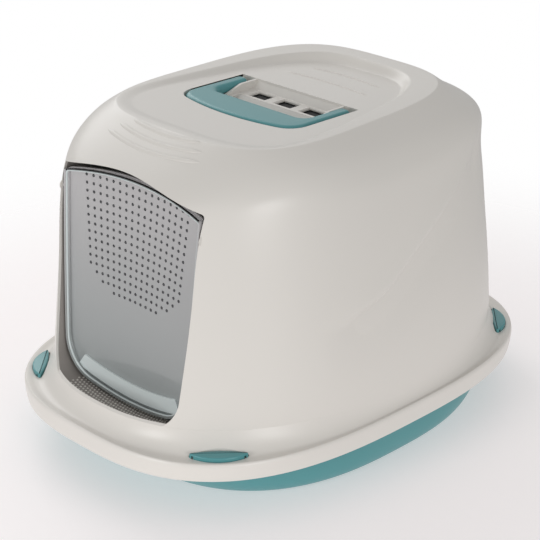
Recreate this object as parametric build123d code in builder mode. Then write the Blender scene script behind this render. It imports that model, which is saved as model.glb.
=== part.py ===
from build123d import *
from math import copysign, cos, pi, sin
import os

# Hooded litter box: an oval tray, a lift-off hood with a swing flap, a folding
# handle over three vents with a filter below, and four rocking latches.
# Millimetres, +Z up. The door faces -Y and X = 0 is the plane of symmetry.
# The origin is the middle of the tray's underside.

# ---------------------------------------------------------------- walls and fits
WALL = 2.6
SEAT_GAP = 0.3
OVAL_POINTS = 24
BOTH_SIDES = (-1, 1)

# ---------------------------------------------------------------- tray
TRAY_RIM_HEIGHT = 58.1
TRAY_RIM_HALF_WIDTH = 200.0
TRAY_RIM_HALF_LENGTH = 268.0
TRAY_RIM_THICKNESS = 2.4
TRAY_RIM_BEAD = 6.0
TRAY_RIM_BEVEL = 0.8
TRAY_FLANK_OVERHANG = 9.5
TRAY_NOSE_OVERHANG = 10.0
TRAY_FLANK_FLARE = 23.5
TRAY_NOSE_FLARE = 63.0

# ---------------------------------------------------------------- hood flange
GUTTER_FLANK_MARGIN = 3.5
GUTTER_NOSE_MARGIN = 4.0
GUTTER_FULLNESS = 2.55
SKIRT_DROP = 20.0
SKIRT_SPREAD = 1.5
SKIRT_NOSE_SPREAD = 6.5
SKIRT_WALL = 2.4
SKIRT_BEAD_HEIGHT = 3.0
SKIRT_BEAD_DEPTH = 0.9
FOOT_RISE = 7.0
FOOT_STEP = 0.6
FOOT_ROUNDING = 3.0

# ---------------------------------------------------------------- hood shell
HOOD_FULLNESS = 2.3
HOOD_FLANK_INSET = 3.8
HOOD_FRONT_INSET = 8.5
HOOD_BACK_INSET = 0.2
SHOULDER_FLANK_RAKE = 29.2
SHOULDER_FRONT_RAKE = 49.0
SHOULDER_BACK_RAKE = 33.8
CREST_FLANK_RAKE = 65.2
CREST_FRONT_RAKE = 106.8
CREST_BACK_RAKE = 95.1
CREST_RISE = 5.3
CREST_TILT = 0.8
CREST_FULLNESS = 3.45
CREST_TAPER = 0.04

# ---------------------------------------------------------------- roof plate
PLATE_HEIGHT = 351.1
PLATE_TILT = -0.85
RIDGE_FLANK_WIDTH = 15.5
RIDGE_FRONT_WIDTH = 7.7
RIDGE_BACK_WIDTH = 20.7
RECESS_FULLNESS = 3.6
RECESS_TAPER = 0.2
RECESS_SLOPE_RUN = 12.0
BROW_RIB_RISE = 0.9
BROW_RIB_WIDTH = 3.2
BACK_RIB_RISE = 0.7
BACK_RIB_WIDTH = 2.4
SWEEP_DEPTH = 0.8

# ---------------------------------------------------------------- doorway
DOOR_WIDTH_SHARE = 0.5362
DOOR_WAIST = 2.8
DOOR_TAPER = 10.2
DOOR_TOP_MARGIN = 27.1
DOOR_TOP_BOW = 18.0
DOOR_WAIST_SHARE = 0.6164
DOOR_BOTTOM_MARGIN = 11.0
DOOR_BOTTOM_BOW = 15.0
DOOR_TOP_ROUNDING = 5.0
DOOR_BOTTOM_ROUNDING = 38.0
DOOR_DEPTH = 31.0
SILL_DEPTH = 6.5

# ---------------------------------------------------------------- flap
FLAP_CLEARANCE = 2.4
FLAP_TOP_GAP = 13.0
FLAP_CORNER_GAP = 6.0
FLAP_SILL_REACH = 1.5
FLAP_BOTTOM_ROUNDING = 52.0
FLAP_THICKNESS = 2.0
FLAP_LIP_DEPTH = 6.0
FLAP_LIP_WIDTH = 2.0
FLAP_LEAN = 5.1
FLAP_FACE_INSET = 60.5
FLAP_FACE_HEIGHT = 180.0
FLAP_HOLLOW_RADIUS = 704.0
FLAP_PIN_DROP = 30.0
FLAP_PIN_SHIFT = 3.0
FLAP_PIN_RADIUS = 2.4
FLAP_PIN_CLEARANCE = 0.1
FLAP_PIN_GRIP = 5.2
FLAP_PIN_REACH = 1.8
FLAP_BOSS_RADIUS = 6.0
FLAP_BOSS_REACH = 4.8

# ---------------------------------------------------------------- handle pocket
POCKET_CLEARANCE = 1.6
POCKET_BACK = 36.0
POCKET_SHELF_DEPTH = 9.6
WELL_HALF_WIDTH = 58.0
WELL_DEPTH = 27.0
WELL_FRONT = 66.0
WELL_BACK = 4.0
WELL_FLOOR_BACK = 22.0
CHEEK_THICKNESS = 3.0
CHEEK_FRONT = 20.0
CHEEK_RAMP = 12.0
VENT_COUNT = 3
VENT_PITCH = 38.0
VENT_LENGTH = 23.0
VENT_WIDTH = 16.0
VENT_SETBACK = 17.5
VENT_BEVEL = 1.4

# ---------------------------------------------------------------- handle
HANDLE_HALF_WIDTH = 84.0
HANDLE_FRONT = 72.0
HANDLE_FRONT_CORNER = 58.0
HANDLE_CORNER_ROUNDING = 24.0
HANDLE_BAND = 45.0
HANDLE_ARM = 16.0
HANDLE_INNER_ROUNDING = 14.0
HANDLE_THICKNESS = 7.0
HANDLE_SHELL = 2.2
HANDLE_DROP = 0.4
HANDLE_EDGE_ROUNDING = 1.2
HANDLE_PIVOT_SETBACK = 22.0
HANDLE_PIVOT_DEPTH = 4.6
HANDLE_TAIL = 4.0
HANDLE_PIN_RADIUS = 2.0
HANDLE_PIN_TIP = 88.6
HANDLE_PIN_CLEARANCE = 0.1

# ---------------------------------------------------------------- filter
FILTER_LENGTH = 112.0
FILTER_WIDTH = 26.0
FILTER_THICKNESS = 5.0
FILTER_SETBACK = 21.5
HOLDER_WALL = 1.8
HOLDER_TOP_GAP = 1.0
HOLDER_SLOT_WIDTH = 4.0
HOLDER_SLOT_PITCH = 10.0
HOLDER_SLOT_COUNT = 10
HOLDER_FLANGE = 4.0
FRAME_CLEARANCE = 0.4
FRAME_WALL = 1.8

# ---------------------------------------------------------------- latches
LATCH_X_SHARE = 0.6978
LATCH_Y_SHARE = 0.8088
LATCH_LENGTH = 58.0
LATCH_WIDTH = 17.0
LATCH_END = 4.0
LATCH_RISE = 9.0
LATCH_HEIGHT = 5.6
LATCH_SHELL = 1.5
LATCH_BEVEL = 1.2
LATCH_ROUNDING = 1.6
LATCH_AXIS_INSET = 3.4
LATCH_AXIS_RISE = 2.6
LATCH_LEG_THICKNESS = 2.4
LATCH_LEG_LENGTH = 26.0
LATCH_LEG_DROP = 10.0
LATCH_HOOK_GAP = 0.35
LATCH_HOOK_HEIGHT = 3.0
LATCH_PIN_RADIUS = 1.1
LATCH_PIN_CLEARANCE = 0.08
LATCH_EAR_THICKNESS = 2.0
LATCH_EAR_RADIUS = 2.0
LATCH_SIDE_GAP = 0.4
LATCH_SWING_GAP = 2.2
LATCH_DOT_COUNT = 4
LATCH_DOT_PITCH = 9.0
LATCH_DOT_RADIUS = 1.1
LATCH_DOT_DEPTH = 0.5
LATCH_DOT_SHIFT = 1.0

# ---------------------------------------------------------------- derived sizes
TRAY_WALL_HALF_WIDTH = TRAY_RIM_HALF_WIDTH - TRAY_FLANK_OVERHANG
TRAY_WALL_HALF_LENGTH = TRAY_RIM_HALF_LENGTH - TRAY_NOSE_OVERHANG
TRAY_BASE_HALF_WIDTH = TRAY_WALL_HALF_WIDTH - TRAY_FLANK_FLARE
TRAY_BASE_HALF_LENGTH = TRAY_WALL_HALF_LENGTH - TRAY_NOSE_FLARE

FLANGE_UNDERSIDE = TRAY_RIM_HEIGHT + SEAT_GAP
GUTTER_HEIGHT = FLANGE_UNDERSIDE + WALL
GUTTER_HALF_WIDTH = TRAY_RIM_HALF_WIDTH + GUTTER_FLANK_MARGIN
GUTTER_HALF_LENGTH = TRAY_RIM_HALF_LENGTH + GUTTER_NOSE_MARGIN
SKIRT_BOTTOM = GUTTER_HEIGHT - SKIRT_DROP

HOOD_BASE_HALF_WIDTH = TRAY_RIM_HALF_WIDTH - HOOD_FLANK_INSET
HOOD_BASE_FRONT = TRAY_RIM_HALF_LENGTH - HOOD_FRONT_INSET
HOOD_BASE_BACK = TRAY_RIM_HALF_LENGTH - HOOD_BACK_INSET
FOOT_HALF_WIDTH = HOOD_BASE_HALF_WIDTH + FOOT_STEP
FOOT_HALF_LENGTH = HOOD_BASE_BACK + FOOT_STEP
FOOT_TOP = GUTTER_HEIGHT + FOOT_RISE
SHOULDER_HALF_WIDTH = HOOD_BASE_HALF_WIDTH - SHOULDER_FLANK_RAKE
SHOULDER_FRONT = HOOD_BASE_FRONT - SHOULDER_FRONT_RAKE
SHOULDER_BACK = HOOD_BASE_BACK - SHOULDER_BACK_RAKE
CREST_HEIGHT = PLATE_HEIGHT + CREST_RISE
CREST_HALF_WIDTH = HOOD_BASE_HALF_WIDTH - CREST_FLANK_RAKE
CREST_FRONT = HOOD_BASE_FRONT - CREST_FRONT_RAKE
CREST_BACK = HOOD_BASE_BACK - CREST_BACK_RAKE
PLATE_HALF_WIDTH = CREST_HALF_WIDTH - RIDGE_FLANK_WIDTH - RECESS_SLOPE_RUN
PLATE_FRONT = CREST_FRONT - RIDGE_FRONT_WIDTH - RECESS_SLOPE_RUN
PLATE_BACK = CREST_BACK - RIDGE_BACK_WIDTH - RECESS_SLOPE_RUN

DOOR_TOP_HALF_WIDTH = HOOD_BASE_HALF_WIDTH * DOOR_WIDTH_SHARE
DOOR_MIDDLE_HALF_WIDTH = DOOR_TOP_HALF_WIDTH - DOOR_WAIST
DOOR_BOTTOM_HALF_WIDTH = DOOR_TOP_HALF_WIDTH - DOOR_TAPER
DOOR_TOP_MIDDLE = PLATE_HEIGHT - DOOR_TOP_MARGIN
DOOR_TOP_CORNER = DOOR_TOP_MIDDLE - DOOR_TOP_BOW
DOOR_BOTTOM_MIDDLE = GUTTER_HEIGHT + DOOR_BOTTOM_MARGIN
DOOR_BOTTOM_CORNER = DOOR_BOTTOM_MIDDLE + DOOR_BOTTOM_BOW
DOOR_MIDDLE_HEIGHT = DOOR_BOTTOM_CORNER + DOOR_WAIST_SHARE * (DOOR_TOP_CORNER - DOOR_BOTTOM_CORNER)

FLAP_TOP_MIDDLE = DOOR_TOP_MIDDLE - FLAP_TOP_GAP
FLAP_TOP_CORNER = DOOR_TOP_CORNER - FLAP_CORNER_GAP
FLAP_BOTTOM_MIDDLE = DOOR_BOTTOM_MIDDLE - FLAP_SILL_REACH
FLAP_FACE_SETBACK = HOOD_BASE_FRONT - FLAP_FACE_INSET
FLAP_PIN_SETBACK = FLAP_FACE_SETBACK + FLAP_PIN_SHIFT
FLAP_PIN_HEIGHT = FLAP_TOP_MIDDLE - FLAP_PIN_DROP
FLAP_PIN_ROOT = DOOR_TOP_HALF_WIDTH - FLAP_PIN_GRIP
FLAP_PIN_TIP = DOOR_TOP_HALF_WIDTH + FLAP_PIN_REACH
FLAP_BOSS_TIP = DOOR_TOP_HALF_WIDTH + FLAP_BOSS_REACH
DOOR_BACK_PLANE = FLAP_FACE_SETBACK - DOOR_DEPTH

SHELF_HEIGHT = PLATE_HEIGHT - POCKET_SHELF_DEPTH
HANDLE_TOP = PLATE_HEIGHT - HANDLE_DROP
HANDLE_PIVOT_HEIGHT = HANDLE_TOP - HANDLE_PIVOT_DEPTH
CHEEK_OUTER = HANDLE_HALF_WIDTH - HANDLE_ARM - POCKET_CLEARANCE
HOLDER_TOP = SHELF_HEIGHT - WALL - HOLDER_TOP_GAP
HOLDER_HEIGHT = FILTER_THICKNESS + 2 * SEAT_GAP
HOLDER_BOTTOM = HOLDER_TOP - HOLDER_HEIGHT

LATCH_X = GUTTER_HALF_WIDTH * LATCH_X_SHARE
LATCH_Y = GUTTER_HALF_LENGTH * LATCH_Y_SHARE
LATCH_TOP = GUTTER_HEIGHT + LATCH_RISE
LATCH_AXIS_HEIGHT = GUTTER_HEIGHT + LATCH_AXIS_RISE

plate_plane = Plane.XY.offset(PLATE_HEIGHT).rotated((PLATE_TILT, 0, 0))
crest_plane = Plane.XY.offset(CREST_HEIGHT).rotated((CREST_TILT, 0, 0))

# height, half width, half length and fullness of each ring
TRAY_RINGS = [
    (0.0, TRAY_BASE_HALF_WIDTH, TRAY_BASE_HALF_LENGTH, 2.8),
    (3.0, TRAY_BASE_HALF_WIDTH + 7.5, TRAY_BASE_HALF_LENGTH + 7.5, 2.78),
    (9.0, TRAY_BASE_HALF_WIDTH + 13.0, TRAY_BASE_HALF_LENGTH + 14.0, 2.75),
    (20.0, TRAY_WALL_HALF_WIDTH - 5.0, TRAY_WALL_HALF_LENGTH - 37.0, 2.65),
    (38.0, TRAY_WALL_HALF_WIDTH - 1.0, TRAY_WALL_HALF_LENGTH - 18.0, 2.5),
    (TRAY_RIM_HEIGHT, TRAY_WALL_HALF_WIDTH, TRAY_WALL_HALF_LENGTH, 2.35),
]
# share of the hood's height, half width, front reach, back reach, fullness and taper of each ring
HOOD_RINGS = [
    (0.0, HOOD_BASE_HALF_WIDTH, HOOD_BASE_FRONT, HOOD_BASE_BACK, HOOD_FULLNESS, 0),
    (0.1732, HOOD_BASE_HALF_WIDTH - 2.4, HOOD_BASE_FRONT - 5.0, HOOD_BASE_BACK - 2.4, HOOD_FULLNESS, 0),
    (0.3577, HOOD_BASE_HALF_WIDTH - 6.9, HOOD_BASE_FRONT - 10.6, HOOD_BASE_BACK - 6.4, HOOD_FULLNESS, 0),
    (0.5423, HOOD_BASE_HALF_WIDTH - 12.4, HOOD_BASE_FRONT - 14.3, HOOD_BASE_BACK - 12.3, HOOD_FULLNESS, 0),
    (0.6832, SHOULDER_HALF_WIDTH + 12.8, SHOULDER_FRONT + 32.7, SHOULDER_BACK + 16.8, HOOD_FULLNESS, 0),
    (0.7839, SHOULDER_HALF_WIDTH + 9.2, SHOULDER_FRONT + 26.7, SHOULDER_BACK + 12.5, 2.34, 0),
    (0.8409, SHOULDER_HALF_WIDTH + 6.1, SHOULDER_FRONT + 16.9, SHOULDER_BACK + 9.8, 2.46, 0),
    (0.8846, SHOULDER_HALF_WIDTH, SHOULDER_FRONT, SHOULDER_BACK, 2.72, 0.01),
    (0.9181, SHOULDER_HALF_WIDTH - 6.5, SHOULDER_FRONT - 15.7, SHOULDER_BACK - 15.0, 2.9, 0.02),
    (0.9584, SHOULDER_HALF_WIDTH - 18.5, SHOULDER_FRONT - 37.0, SHOULDER_BACK - 39.0, 3.15, 0.03),
]
ROOF_START = HOOD_RINGS[3][0]

# half length, setback of the ends and setback of the middle of each raised rib
BROW_RIBS = [
    (69.0, SHOULDER_FRONT - 39.5, SHOULDER_FRONT - 28.8),
    (61.0, SHOULDER_FRONT - 49.5, SHOULDER_FRONT - 40.5),
    (50.0, SHOULDER_FRONT - 57.5, SHOULDER_FRONT - 52.7),
]
BACK_RIBS = [(61.0, PLATE_BACK - 62.5, PLATE_BACK - 59.5), (50.0, PLATE_BACK - 32.0, PLATE_BACK - 27.2)]
# y, and share of the hood's height, of the crescent's two edges along its run
SWEEP_RUN = [
    (163, 0.8443, 0.8443),
    (121, 0.7581, 0.7430),
    (73, 0.6638, 0.6450),
    (18, 0.5617, 0.5390),
    (-28, 0.4658, 0.4450),
    (-69, 0.4206, 0.4020),
    (-110, 0.3745, 0.3745),
]


def hood_level(share):
    """The height at a share of the way from the flange's underside to the crest."""
    return FLANGE_UNDERSIDE + share * (CREST_HEIGHT - FLANGE_UNDERSIDE)


def oval(half_width, front, back, fullness, taper=0):
    """Points of a closed oval with its own front and back reach, narrowing to the back by taper."""
    points = []
    for step in range(OVAL_POINTS):
        turn = 2 * pi * step / OVAL_POINTS
        reach = back if sin(turn) > 0 else front
        across = copysign(abs(cos(turn)) ** (2 / fullness), cos(turn))
        along = copysign(abs(sin(turn)) ** (2 / fullness), sin(turn))
        points.append((half_width * across * (1 - taper * along), reach * along))
    return points


def oval_loft(rings, ruled=False):
    """A body through rings given as a plane and the sizes of an oval."""
    with BuildPart() as body:
        for plane, *sizes in rings:
            with BuildSketch(plane):
                with BuildLine():
                    Spline(*oval(*sizes), periodic=True)
                make_face()
        loft(ruled=ruled)
    return body.part


def tray_form(inset, floor):
    """The tray's boat-shaped body, drawn in by inset, its underside at floor."""
    rings = []
    for height, half_width, reach, fullness in TRAY_RINGS:
        level = floor + height * (TRAY_RIM_HEIGHT - floor) / TRAY_RIM_HEIGHT
        rings.append((Plane.XY.offset(level), half_width - inset, reach - inset, reach - inset, fullness))
    return oval_loft(rings)


def hood_form(inset, drop):
    """The hood's body, drawn in by inset and lowered by drop over the roof."""
    rings = []
    for share, half_width, front, back, fullness, taper in HOOD_RINGS:
        roof_share = max(0.0, (share - ROOF_START) / (1 - ROOF_START))
        plane = Plane.XY.offset(hood_level(share) - drop * roof_share)
        rings.append((plane, half_width - inset, front - inset, back - inset, fullness, taper))
    crest_sizes = (CREST_HALF_WIDTH - inset, CREST_FRONT - inset, CREST_BACK - inset)
    rings.append((crest_plane.offset(-drop), *crest_sizes, CREST_FULLNESS, CREST_TAPER))
    return oval_loft(rings)


def recess_form(growth, drop):
    """The roof's shallow dish, grown outward and lowered, run up past the crest."""
    shape = (RECESS_FULLNESS, RECESS_TAPER)
    floor_sizes = [reach + growth for reach in (PLATE_HALF_WIDTH, PLATE_FRONT, PLATE_BACK)]
    mouth_sizes = [reach + RECESS_SLOPE_RUN for reach in floor_sizes]
    rings = [
        (plate_plane.offset(-drop), *floor_sizes, *shape),
        (crest_plane.offset(-drop), *mouth_sizes, *shape),
        (crest_plane.offset(4 * WALL), *mouth_sizes, *shape),
    ]
    return oval_loft(rings, ruled=True)


def door_prism(half_widths, heights, roundings, near, far):
    """The doorway's outline run along Y, near and far being depths ahead of X."""
    top_half, middle_half, bottom_half = half_widths
    top_middle, top_corner, bottom_corner, bottom_middle = heights
    with BuildPart() as prism:
        with BuildSketch(Plane.XZ.offset(near)):
            with BuildLine():
                ThreePointArc((-top_half, top_corner), (0, top_middle), (top_half, top_corner))
                ThreePointArc(
                    (top_half, top_corner), (middle_half, DOOR_MIDDLE_HEIGHT), (bottom_half, bottom_corner)
                )
                ThreePointArc(
                    (bottom_half, bottom_corner), (0, bottom_middle), (-bottom_half, bottom_corner)
                )
                ThreePointArc(
                    (-bottom_half, bottom_corner), (-middle_half, DOOR_MIDDLE_HEIGHT), (-top_half, top_corner)
                )
            make_face()
            corners = vertices().group_by(Axis.Y)
            fillet(corners[-1], roundings[0])
            fillet(corners[0], roundings[1])
        extrude(amount=far - near)
    return prism.part


def door_frame(outset, lowering, near, far):
    """The doorway made larger all round by outset, its sill lowered further."""
    half_widths = (
        DOOR_TOP_HALF_WIDTH + outset,
        DOOR_MIDDLE_HALF_WIDTH + outset,
        DOOR_BOTTOM_HALF_WIDTH + outset,
    )
    heights = (
        DOOR_TOP_MIDDLE + outset,
        DOOR_TOP_CORNER + outset,
        DOOR_BOTTOM_CORNER - outset - lowering,
        DOOR_BOTTOM_MIDDLE - outset - lowering,
    )
    roundings = (DOOR_TOP_ROUNDING + outset, DOOR_BOTTOM_ROUNDING + outset)
    return door_prism(half_widths, heights, roundings, near, far)


def handle_outline(plane, grow, tail, inner):
    """The handle's bow seen from above, grown by grow; inner leaves the grip open."""
    side = HANDLE_HALF_WIDTH + grow
    with BuildSketch(plane) as outline:
        with BuildLine():
            ThreePointArc(
                (-side, -HANDLE_FRONT_CORNER - grow),
                (0, -HANDLE_FRONT - grow),
                (side, -HANDLE_FRONT_CORNER - grow),
            )
            Polyline(
                (side, -HANDLE_FRONT_CORNER - grow),
                (side, tail),
                (-side, tail),
                (-side, -HANDLE_FRONT_CORNER - grow),
            )
        make_face()
        fillet(vertices().group_by(Axis.Y)[0], HANDLE_CORNER_ROUNDING + grow)
        if inner:
            with BuildSketch(plane, mode=Mode.PRIVATE) as grip:
                with Locations((0, tail)):
                    Rectangle(
                        2 * (HANDLE_HALF_WIDTH - HANDLE_ARM - grow),
                        2 * (HANDLE_FRONT - HANDLE_BAND + tail - grow),
                    )
                fillet(grip.vertices(), HANDLE_INNER_ROUNDING - grow)
            add(grip.sketch_local, mode=Mode.SUBTRACT)
    return outline.sketch


def arc_band(half_length, end_setback, middle_setback, width):
    """A slim bowed band seen from above, run up through the roof."""
    with BuildPart() as band:
        with BuildSketch(Plane.XY.offset(PLATE_HEIGHT - 50)):
            with BuildLine():
                ThreePointArc((-half_length, end_setback), (0, middle_setback), (half_length, end_setback))
            trace(line_width=width)
        extrude(amount=80)
    return band.part


def upright_rings(lines, half_width, half_length, fullness):
    """Level rings at (height, growth) lines about one oval."""
    rings = []
    for height, growth in lines:
        reach = half_length + growth
        rings.append((Plane.XY.offset(height), half_width + growth, reach, reach, fullness))
    return rings


# ---------------------------------------------------------------- tray
RIM_SIZE = (TRAY_RIM_HALF_WIDTH, TRAY_RIM_HALF_LENGTH, HOOD_FULLNESS)
RIM_FOOT = TRAY_RIM_HEIGHT - TRAY_RIM_BEAD
RIM_LINES = [(RIM_FOOT, 0), (TRAY_RIM_HEIGHT - TRAY_RIM_BEVEL, 0), (TRAY_RIM_HEIGHT, -TRAY_RIM_BEVEL)]
RIM_HOLLOW_LINES = [
    (RIM_FOOT, -TRAY_RIM_THICKNESS),
    (TRAY_RIM_HEIGHT - TRAY_RIM_THICKNESS, -TRAY_RIM_THICKNESS),
]

with BuildPart() as tray:
    add(oval_loft(upright_rings(RIM_LINES, *RIM_SIZE), ruled=True))
    add(oval_loft(upright_rings(RIM_HOLLOW_LINES, *RIM_SIZE), ruled=True), mode=Mode.SUBTRACT)
    add(tray_form(0, 0))
    add(tray_form(TRAY_RIM_THICKNESS, TRAY_RIM_THICKNESS), mode=Mode.SUBTRACT)
tray.part.label = "tray"
os.makedirs("parts", exist_ok=True)
export_step(tray.part, "parts/tray.step")

# ---------------------------------------------------------------- hood forms
hood_outer = hood_form(0, 0)
hood_inner = hood_form(WALL, WALL)
handle_bed = handle_outline(plate_plane, POCKET_CLEARANCE, POCKET_BACK, False)

with BuildPart() as pocket_tub:
    with BuildSketch(plate_plane.offset(-POCKET_SHELF_DEPTH - WALL)):
        add(offset(handle_bed, WALL))
    extrude(amount=POCKET_SHELF_DEPTH + WALL)

with BuildPart() as finger_well:
    with BuildSketch(Plane.YZ):
        with BuildLine():
            Polyline(
                (-WELL_FRONT, SHELF_HEIGHT + 2 * WALL),
                (-WELL_FRONT + 3, PLATE_HEIGHT - WELL_DEPTH),
                (-WELL_FLOOR_BACK, PLATE_HEIGHT - WELL_DEPTH),
                (WELL_BACK, SHELF_HEIGHT - 0.2),
                (WELL_BACK, SHELF_HEIGHT + 2 * WALL),
                close=True,
            )
        make_face()
    extrude(amount=WELL_HALF_WIDTH, both=True)
    fillet(edges().filter_by(Axis.X).group_by(Axis.Z)[0], 6)

with BuildPart() as finger_well_tub:
    with BuildSketch(Plane.YZ):
        with BuildLine():
            Polyline(
                (-WELL_FRONT - WALL, SHELF_HEIGHT),
                (-WELL_FRONT - WALL + 3, PLATE_HEIGHT - WELL_DEPTH - WALL),
                (-WELL_FLOOR_BACK + WALL, PLATE_HEIGHT - WELL_DEPTH - WALL),
                (WELL_BACK + WALL, SHELF_HEIGHT - WALL),
                (WELL_BACK + WALL, SHELF_HEIGHT),
                close=True,
            )
        make_face()
    extrude(amount=WELL_HALF_WIDTH + WALL, both=True)

# Cheeks part the grip's hollow from the slots of the handle's arms.
with BuildPart() as cheeks:
    for side in BOTH_SIDES:
        with BuildSketch(Plane.YZ.offset(side * CHEEK_OUTER)):
            with BuildLine():
                Polyline(
                    (-CHEEK_FRONT, SHELF_HEIGHT - WALL / 2),
                    (CHEEK_RAMP, PLATE_HEIGHT - WALL / 2),
                    (POCKET_BACK + WALL / 2, PLATE_HEIGHT - WALL / 2),
                    (POCKET_BACK + WALL / 2, SHELF_HEIGHT - WALL / 2),
                    close=True,
                )
            make_face()
        extrude(amount=-side * CHEEK_THICKNESS)

with BuildPart() as filter_frame:
    frame_length = FILTER_LENGTH + 2 * (SEAT_GAP + HOLDER_WALL + FRAME_CLEARANCE)
    frame_width = FILTER_WIDTH + 2 * (SEAT_GAP + HOLDER_WALL + FRAME_CLEARANCE)
    with BuildSketch(Plane.XY.offset(HOLDER_BOTTOM + SEAT_GAP)):
        with Locations((0, FILTER_SETBACK)):
            Rectangle(frame_length + 2 * FRAME_WALL, frame_width + 2 * FRAME_WALL)
            Rectangle(frame_length, frame_width, mode=Mode.SUBTRACT)
    extrude(amount=SHELF_HEIGHT - WALL / 2 - HOLDER_BOTTOM - SEAT_GAP)

with BuildPart() as hinge_bosses:
    for side in BOTH_SIDES:
        with BuildSketch(Plane.YZ.offset(side * DOOR_TOP_HALF_WIDTH)):
            with Locations((-FLAP_PIN_SETBACK, FLAP_PIN_HEIGHT)):
                Circle(FLAP_BOSS_RADIUS)
        extrude(amount=side * (FLAP_BOSS_TIP - DOOR_TOP_HALF_WIDTH))

with BuildPart() as door_collar:
    add(door_frame(WALL, SILL_DEPTH, DOOR_BACK_PLANE, HOOD_BASE_FRONT + 20))
    add(hinge_bosses.part)
    add(hood_outer, mode=Mode.INTERSECT)

with BuildPart() as door_recess:
    add(door_frame(0, SILL_DEPTH, DOOR_BACK_PLANE - 1, HOOD_BASE_FRONT + 20))
    add(hood_inner, mode=Mode.INTERSECT)

with BuildPart() as cavity:
    add(hood_inner)
    # The dish's underside is one wall below it.
    add(recess_form(WALL, WALL + SEAT_GAP), mode=Mode.SUBTRACT)
    for solid_region in (pocket_tub, finger_well_tub, filter_frame, door_collar):
        add(solid_region.part, mode=Mode.SUBTRACT)

with BuildPart() as roof_ribs:
    for half_length, end_setback, middle_setback in BROW_RIBS:
        add(arc_band(half_length, -end_setback, -middle_setback, BROW_RIB_WIDTH))
    add(hood_form(-BROW_RIB_RISE, -BROW_RIB_RISE), mode=Mode.INTERSECT)

with BuildPart() as plate_ribs:
    for half_length, end_setback, middle_setback in BACK_RIBS:
        add(arc_band(half_length, end_setback, middle_setback, BACK_RIB_WIDTH))
    with BuildSketch(plate_plane.offset(-WALL / 2)):
        Rectangle(2 * PLATE_HALF_WIDTH, 2 * PLATE_BACK)
    extrude(amount=WALL / 2 + BACK_RIB_RISE, mode=Mode.INTERSECT)

# ---------------------------------------------------------------- skirt and gutter
# Height, spread at the flank and spread at the nose of each line of the skirt.
SKIRT_LINES = [
    (GUTTER_HEIGHT, -1.4, -1.4),
    (GUTTER_HEIGHT - 0.5, -0.4, -0.4),
    (GUTTER_HEIGHT - 1.8, 0.1, 0.4),
    (SKIRT_BOTTOM + SKIRT_BEAD_HEIGHT, SKIRT_SPREAD, SKIRT_NOSE_SPREAD - 0.8),
    (SKIRT_BOTTOM + SKIRT_BEAD_HEIGHT - 0.6, SKIRT_SPREAD + SKIRT_BEAD_DEPTH, SKIRT_NOSE_SPREAD + 0.5),
    (SKIRT_BOTTOM + 0.5, SKIRT_SPREAD + SKIRT_BEAD_DEPTH, SKIRT_NOSE_SPREAD + SKIRT_BEAD_DEPTH),
    (SKIRT_BOTTOM, SKIRT_SPREAD + SKIRT_BEAD_DEPTH / 2, SKIRT_NOSE_SPREAD + SKIRT_BEAD_DEPTH / 2),
]
HOLLOW_LINES = [
    (FLANGE_UNDERSIDE, 0.2 - SKIRT_WALL, 0.8 - SKIRT_WALL),
    (SKIRT_BOTTOM - 0.01, SKIRT_SPREAD - SKIRT_WALL, SKIRT_NOSE_SPREAD - SKIRT_WALL),
]


def skirt_form(lines):
    """A ring-lofted body that follows the gutter's outline."""
    rings = []
    for height, spread, nose_spread in lines:
        reach = GUTTER_HALF_LENGTH + nose_spread
        rings.append((Plane.XY.offset(height), GUTTER_HALF_WIDTH + spread, reach, reach, GUTTER_FULLNESS))
    return oval_loft(rings, ruled=True)


with BuildPart() as skirt:
    add(skirt_form(SKIRT_LINES))
    add(skirt_form(HOLLOW_LINES), mode=Mode.SUBTRACT)

FOOT_LINES = [(FLANGE_UNDERSIDE, 0)]
for step in range(4):
    bend = step * pi / 6
    FOOT_LINES.append((FOOT_TOP - FOOT_ROUNDING * (1 - sin(bend)), -FOOT_ROUNDING * (1 - cos(bend))))

with BuildPart() as foot:
    add(oval_loft(upright_rings(FOOT_LINES, FOOT_HALF_WIDTH, FOOT_HALF_LENGTH, HOOD_FULLNESS), ruled=True))

# ---------------------------------------------------------------- sockets
with BuildPart() as pin_sockets:
    for side in BOTH_SIDES:
        with BuildSketch(Plane.YZ.offset(side * HANDLE_HALF_WIDTH)):
            with Locations((HANDLE_PIVOT_SETBACK, HANDLE_PIVOT_HEIGHT)):
                Circle(HANDLE_PIN_RADIUS + HANDLE_PIN_CLEARANCE)
        extrude(amount=side * (HANDLE_PIN_TIP + 2 * SEAT_GAP - HANDLE_HALF_WIDTH))
        with BuildSketch(Plane.YZ.offset(side * (DOOR_MIDDLE_HALF_WIDTH - 1))):
            with Locations((-FLAP_PIN_SETBACK, FLAP_PIN_HEIGHT)):
                Circle(FLAP_PIN_RADIUS + FLAP_PIN_CLEARANCE)
        extrude(amount=side * (FLAP_PIN_TIP + 2 * SEAT_GAP - DOOR_MIDDLE_HALF_WIDTH + 1))

# A shallow crescent sweeps down each flank from the back shoulder to the front.
with BuildPart() as side_sweeps:
    with BuildSketch(Plane.YZ):
        with BuildLine():
            Spline(*[(y, hood_level(upper)) for y, upper, lower in SWEEP_RUN])
            Spline(*[(y, hood_level(lower)) for y, upper, lower in SWEEP_RUN])
        make_face()
    extrude(amount=HOOD_BASE_HALF_WIDTH + 10, both=True)
    add(hood_form(SWEEP_DEPTH, SWEEP_DEPTH), mode=Mode.SUBTRACT)

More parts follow.
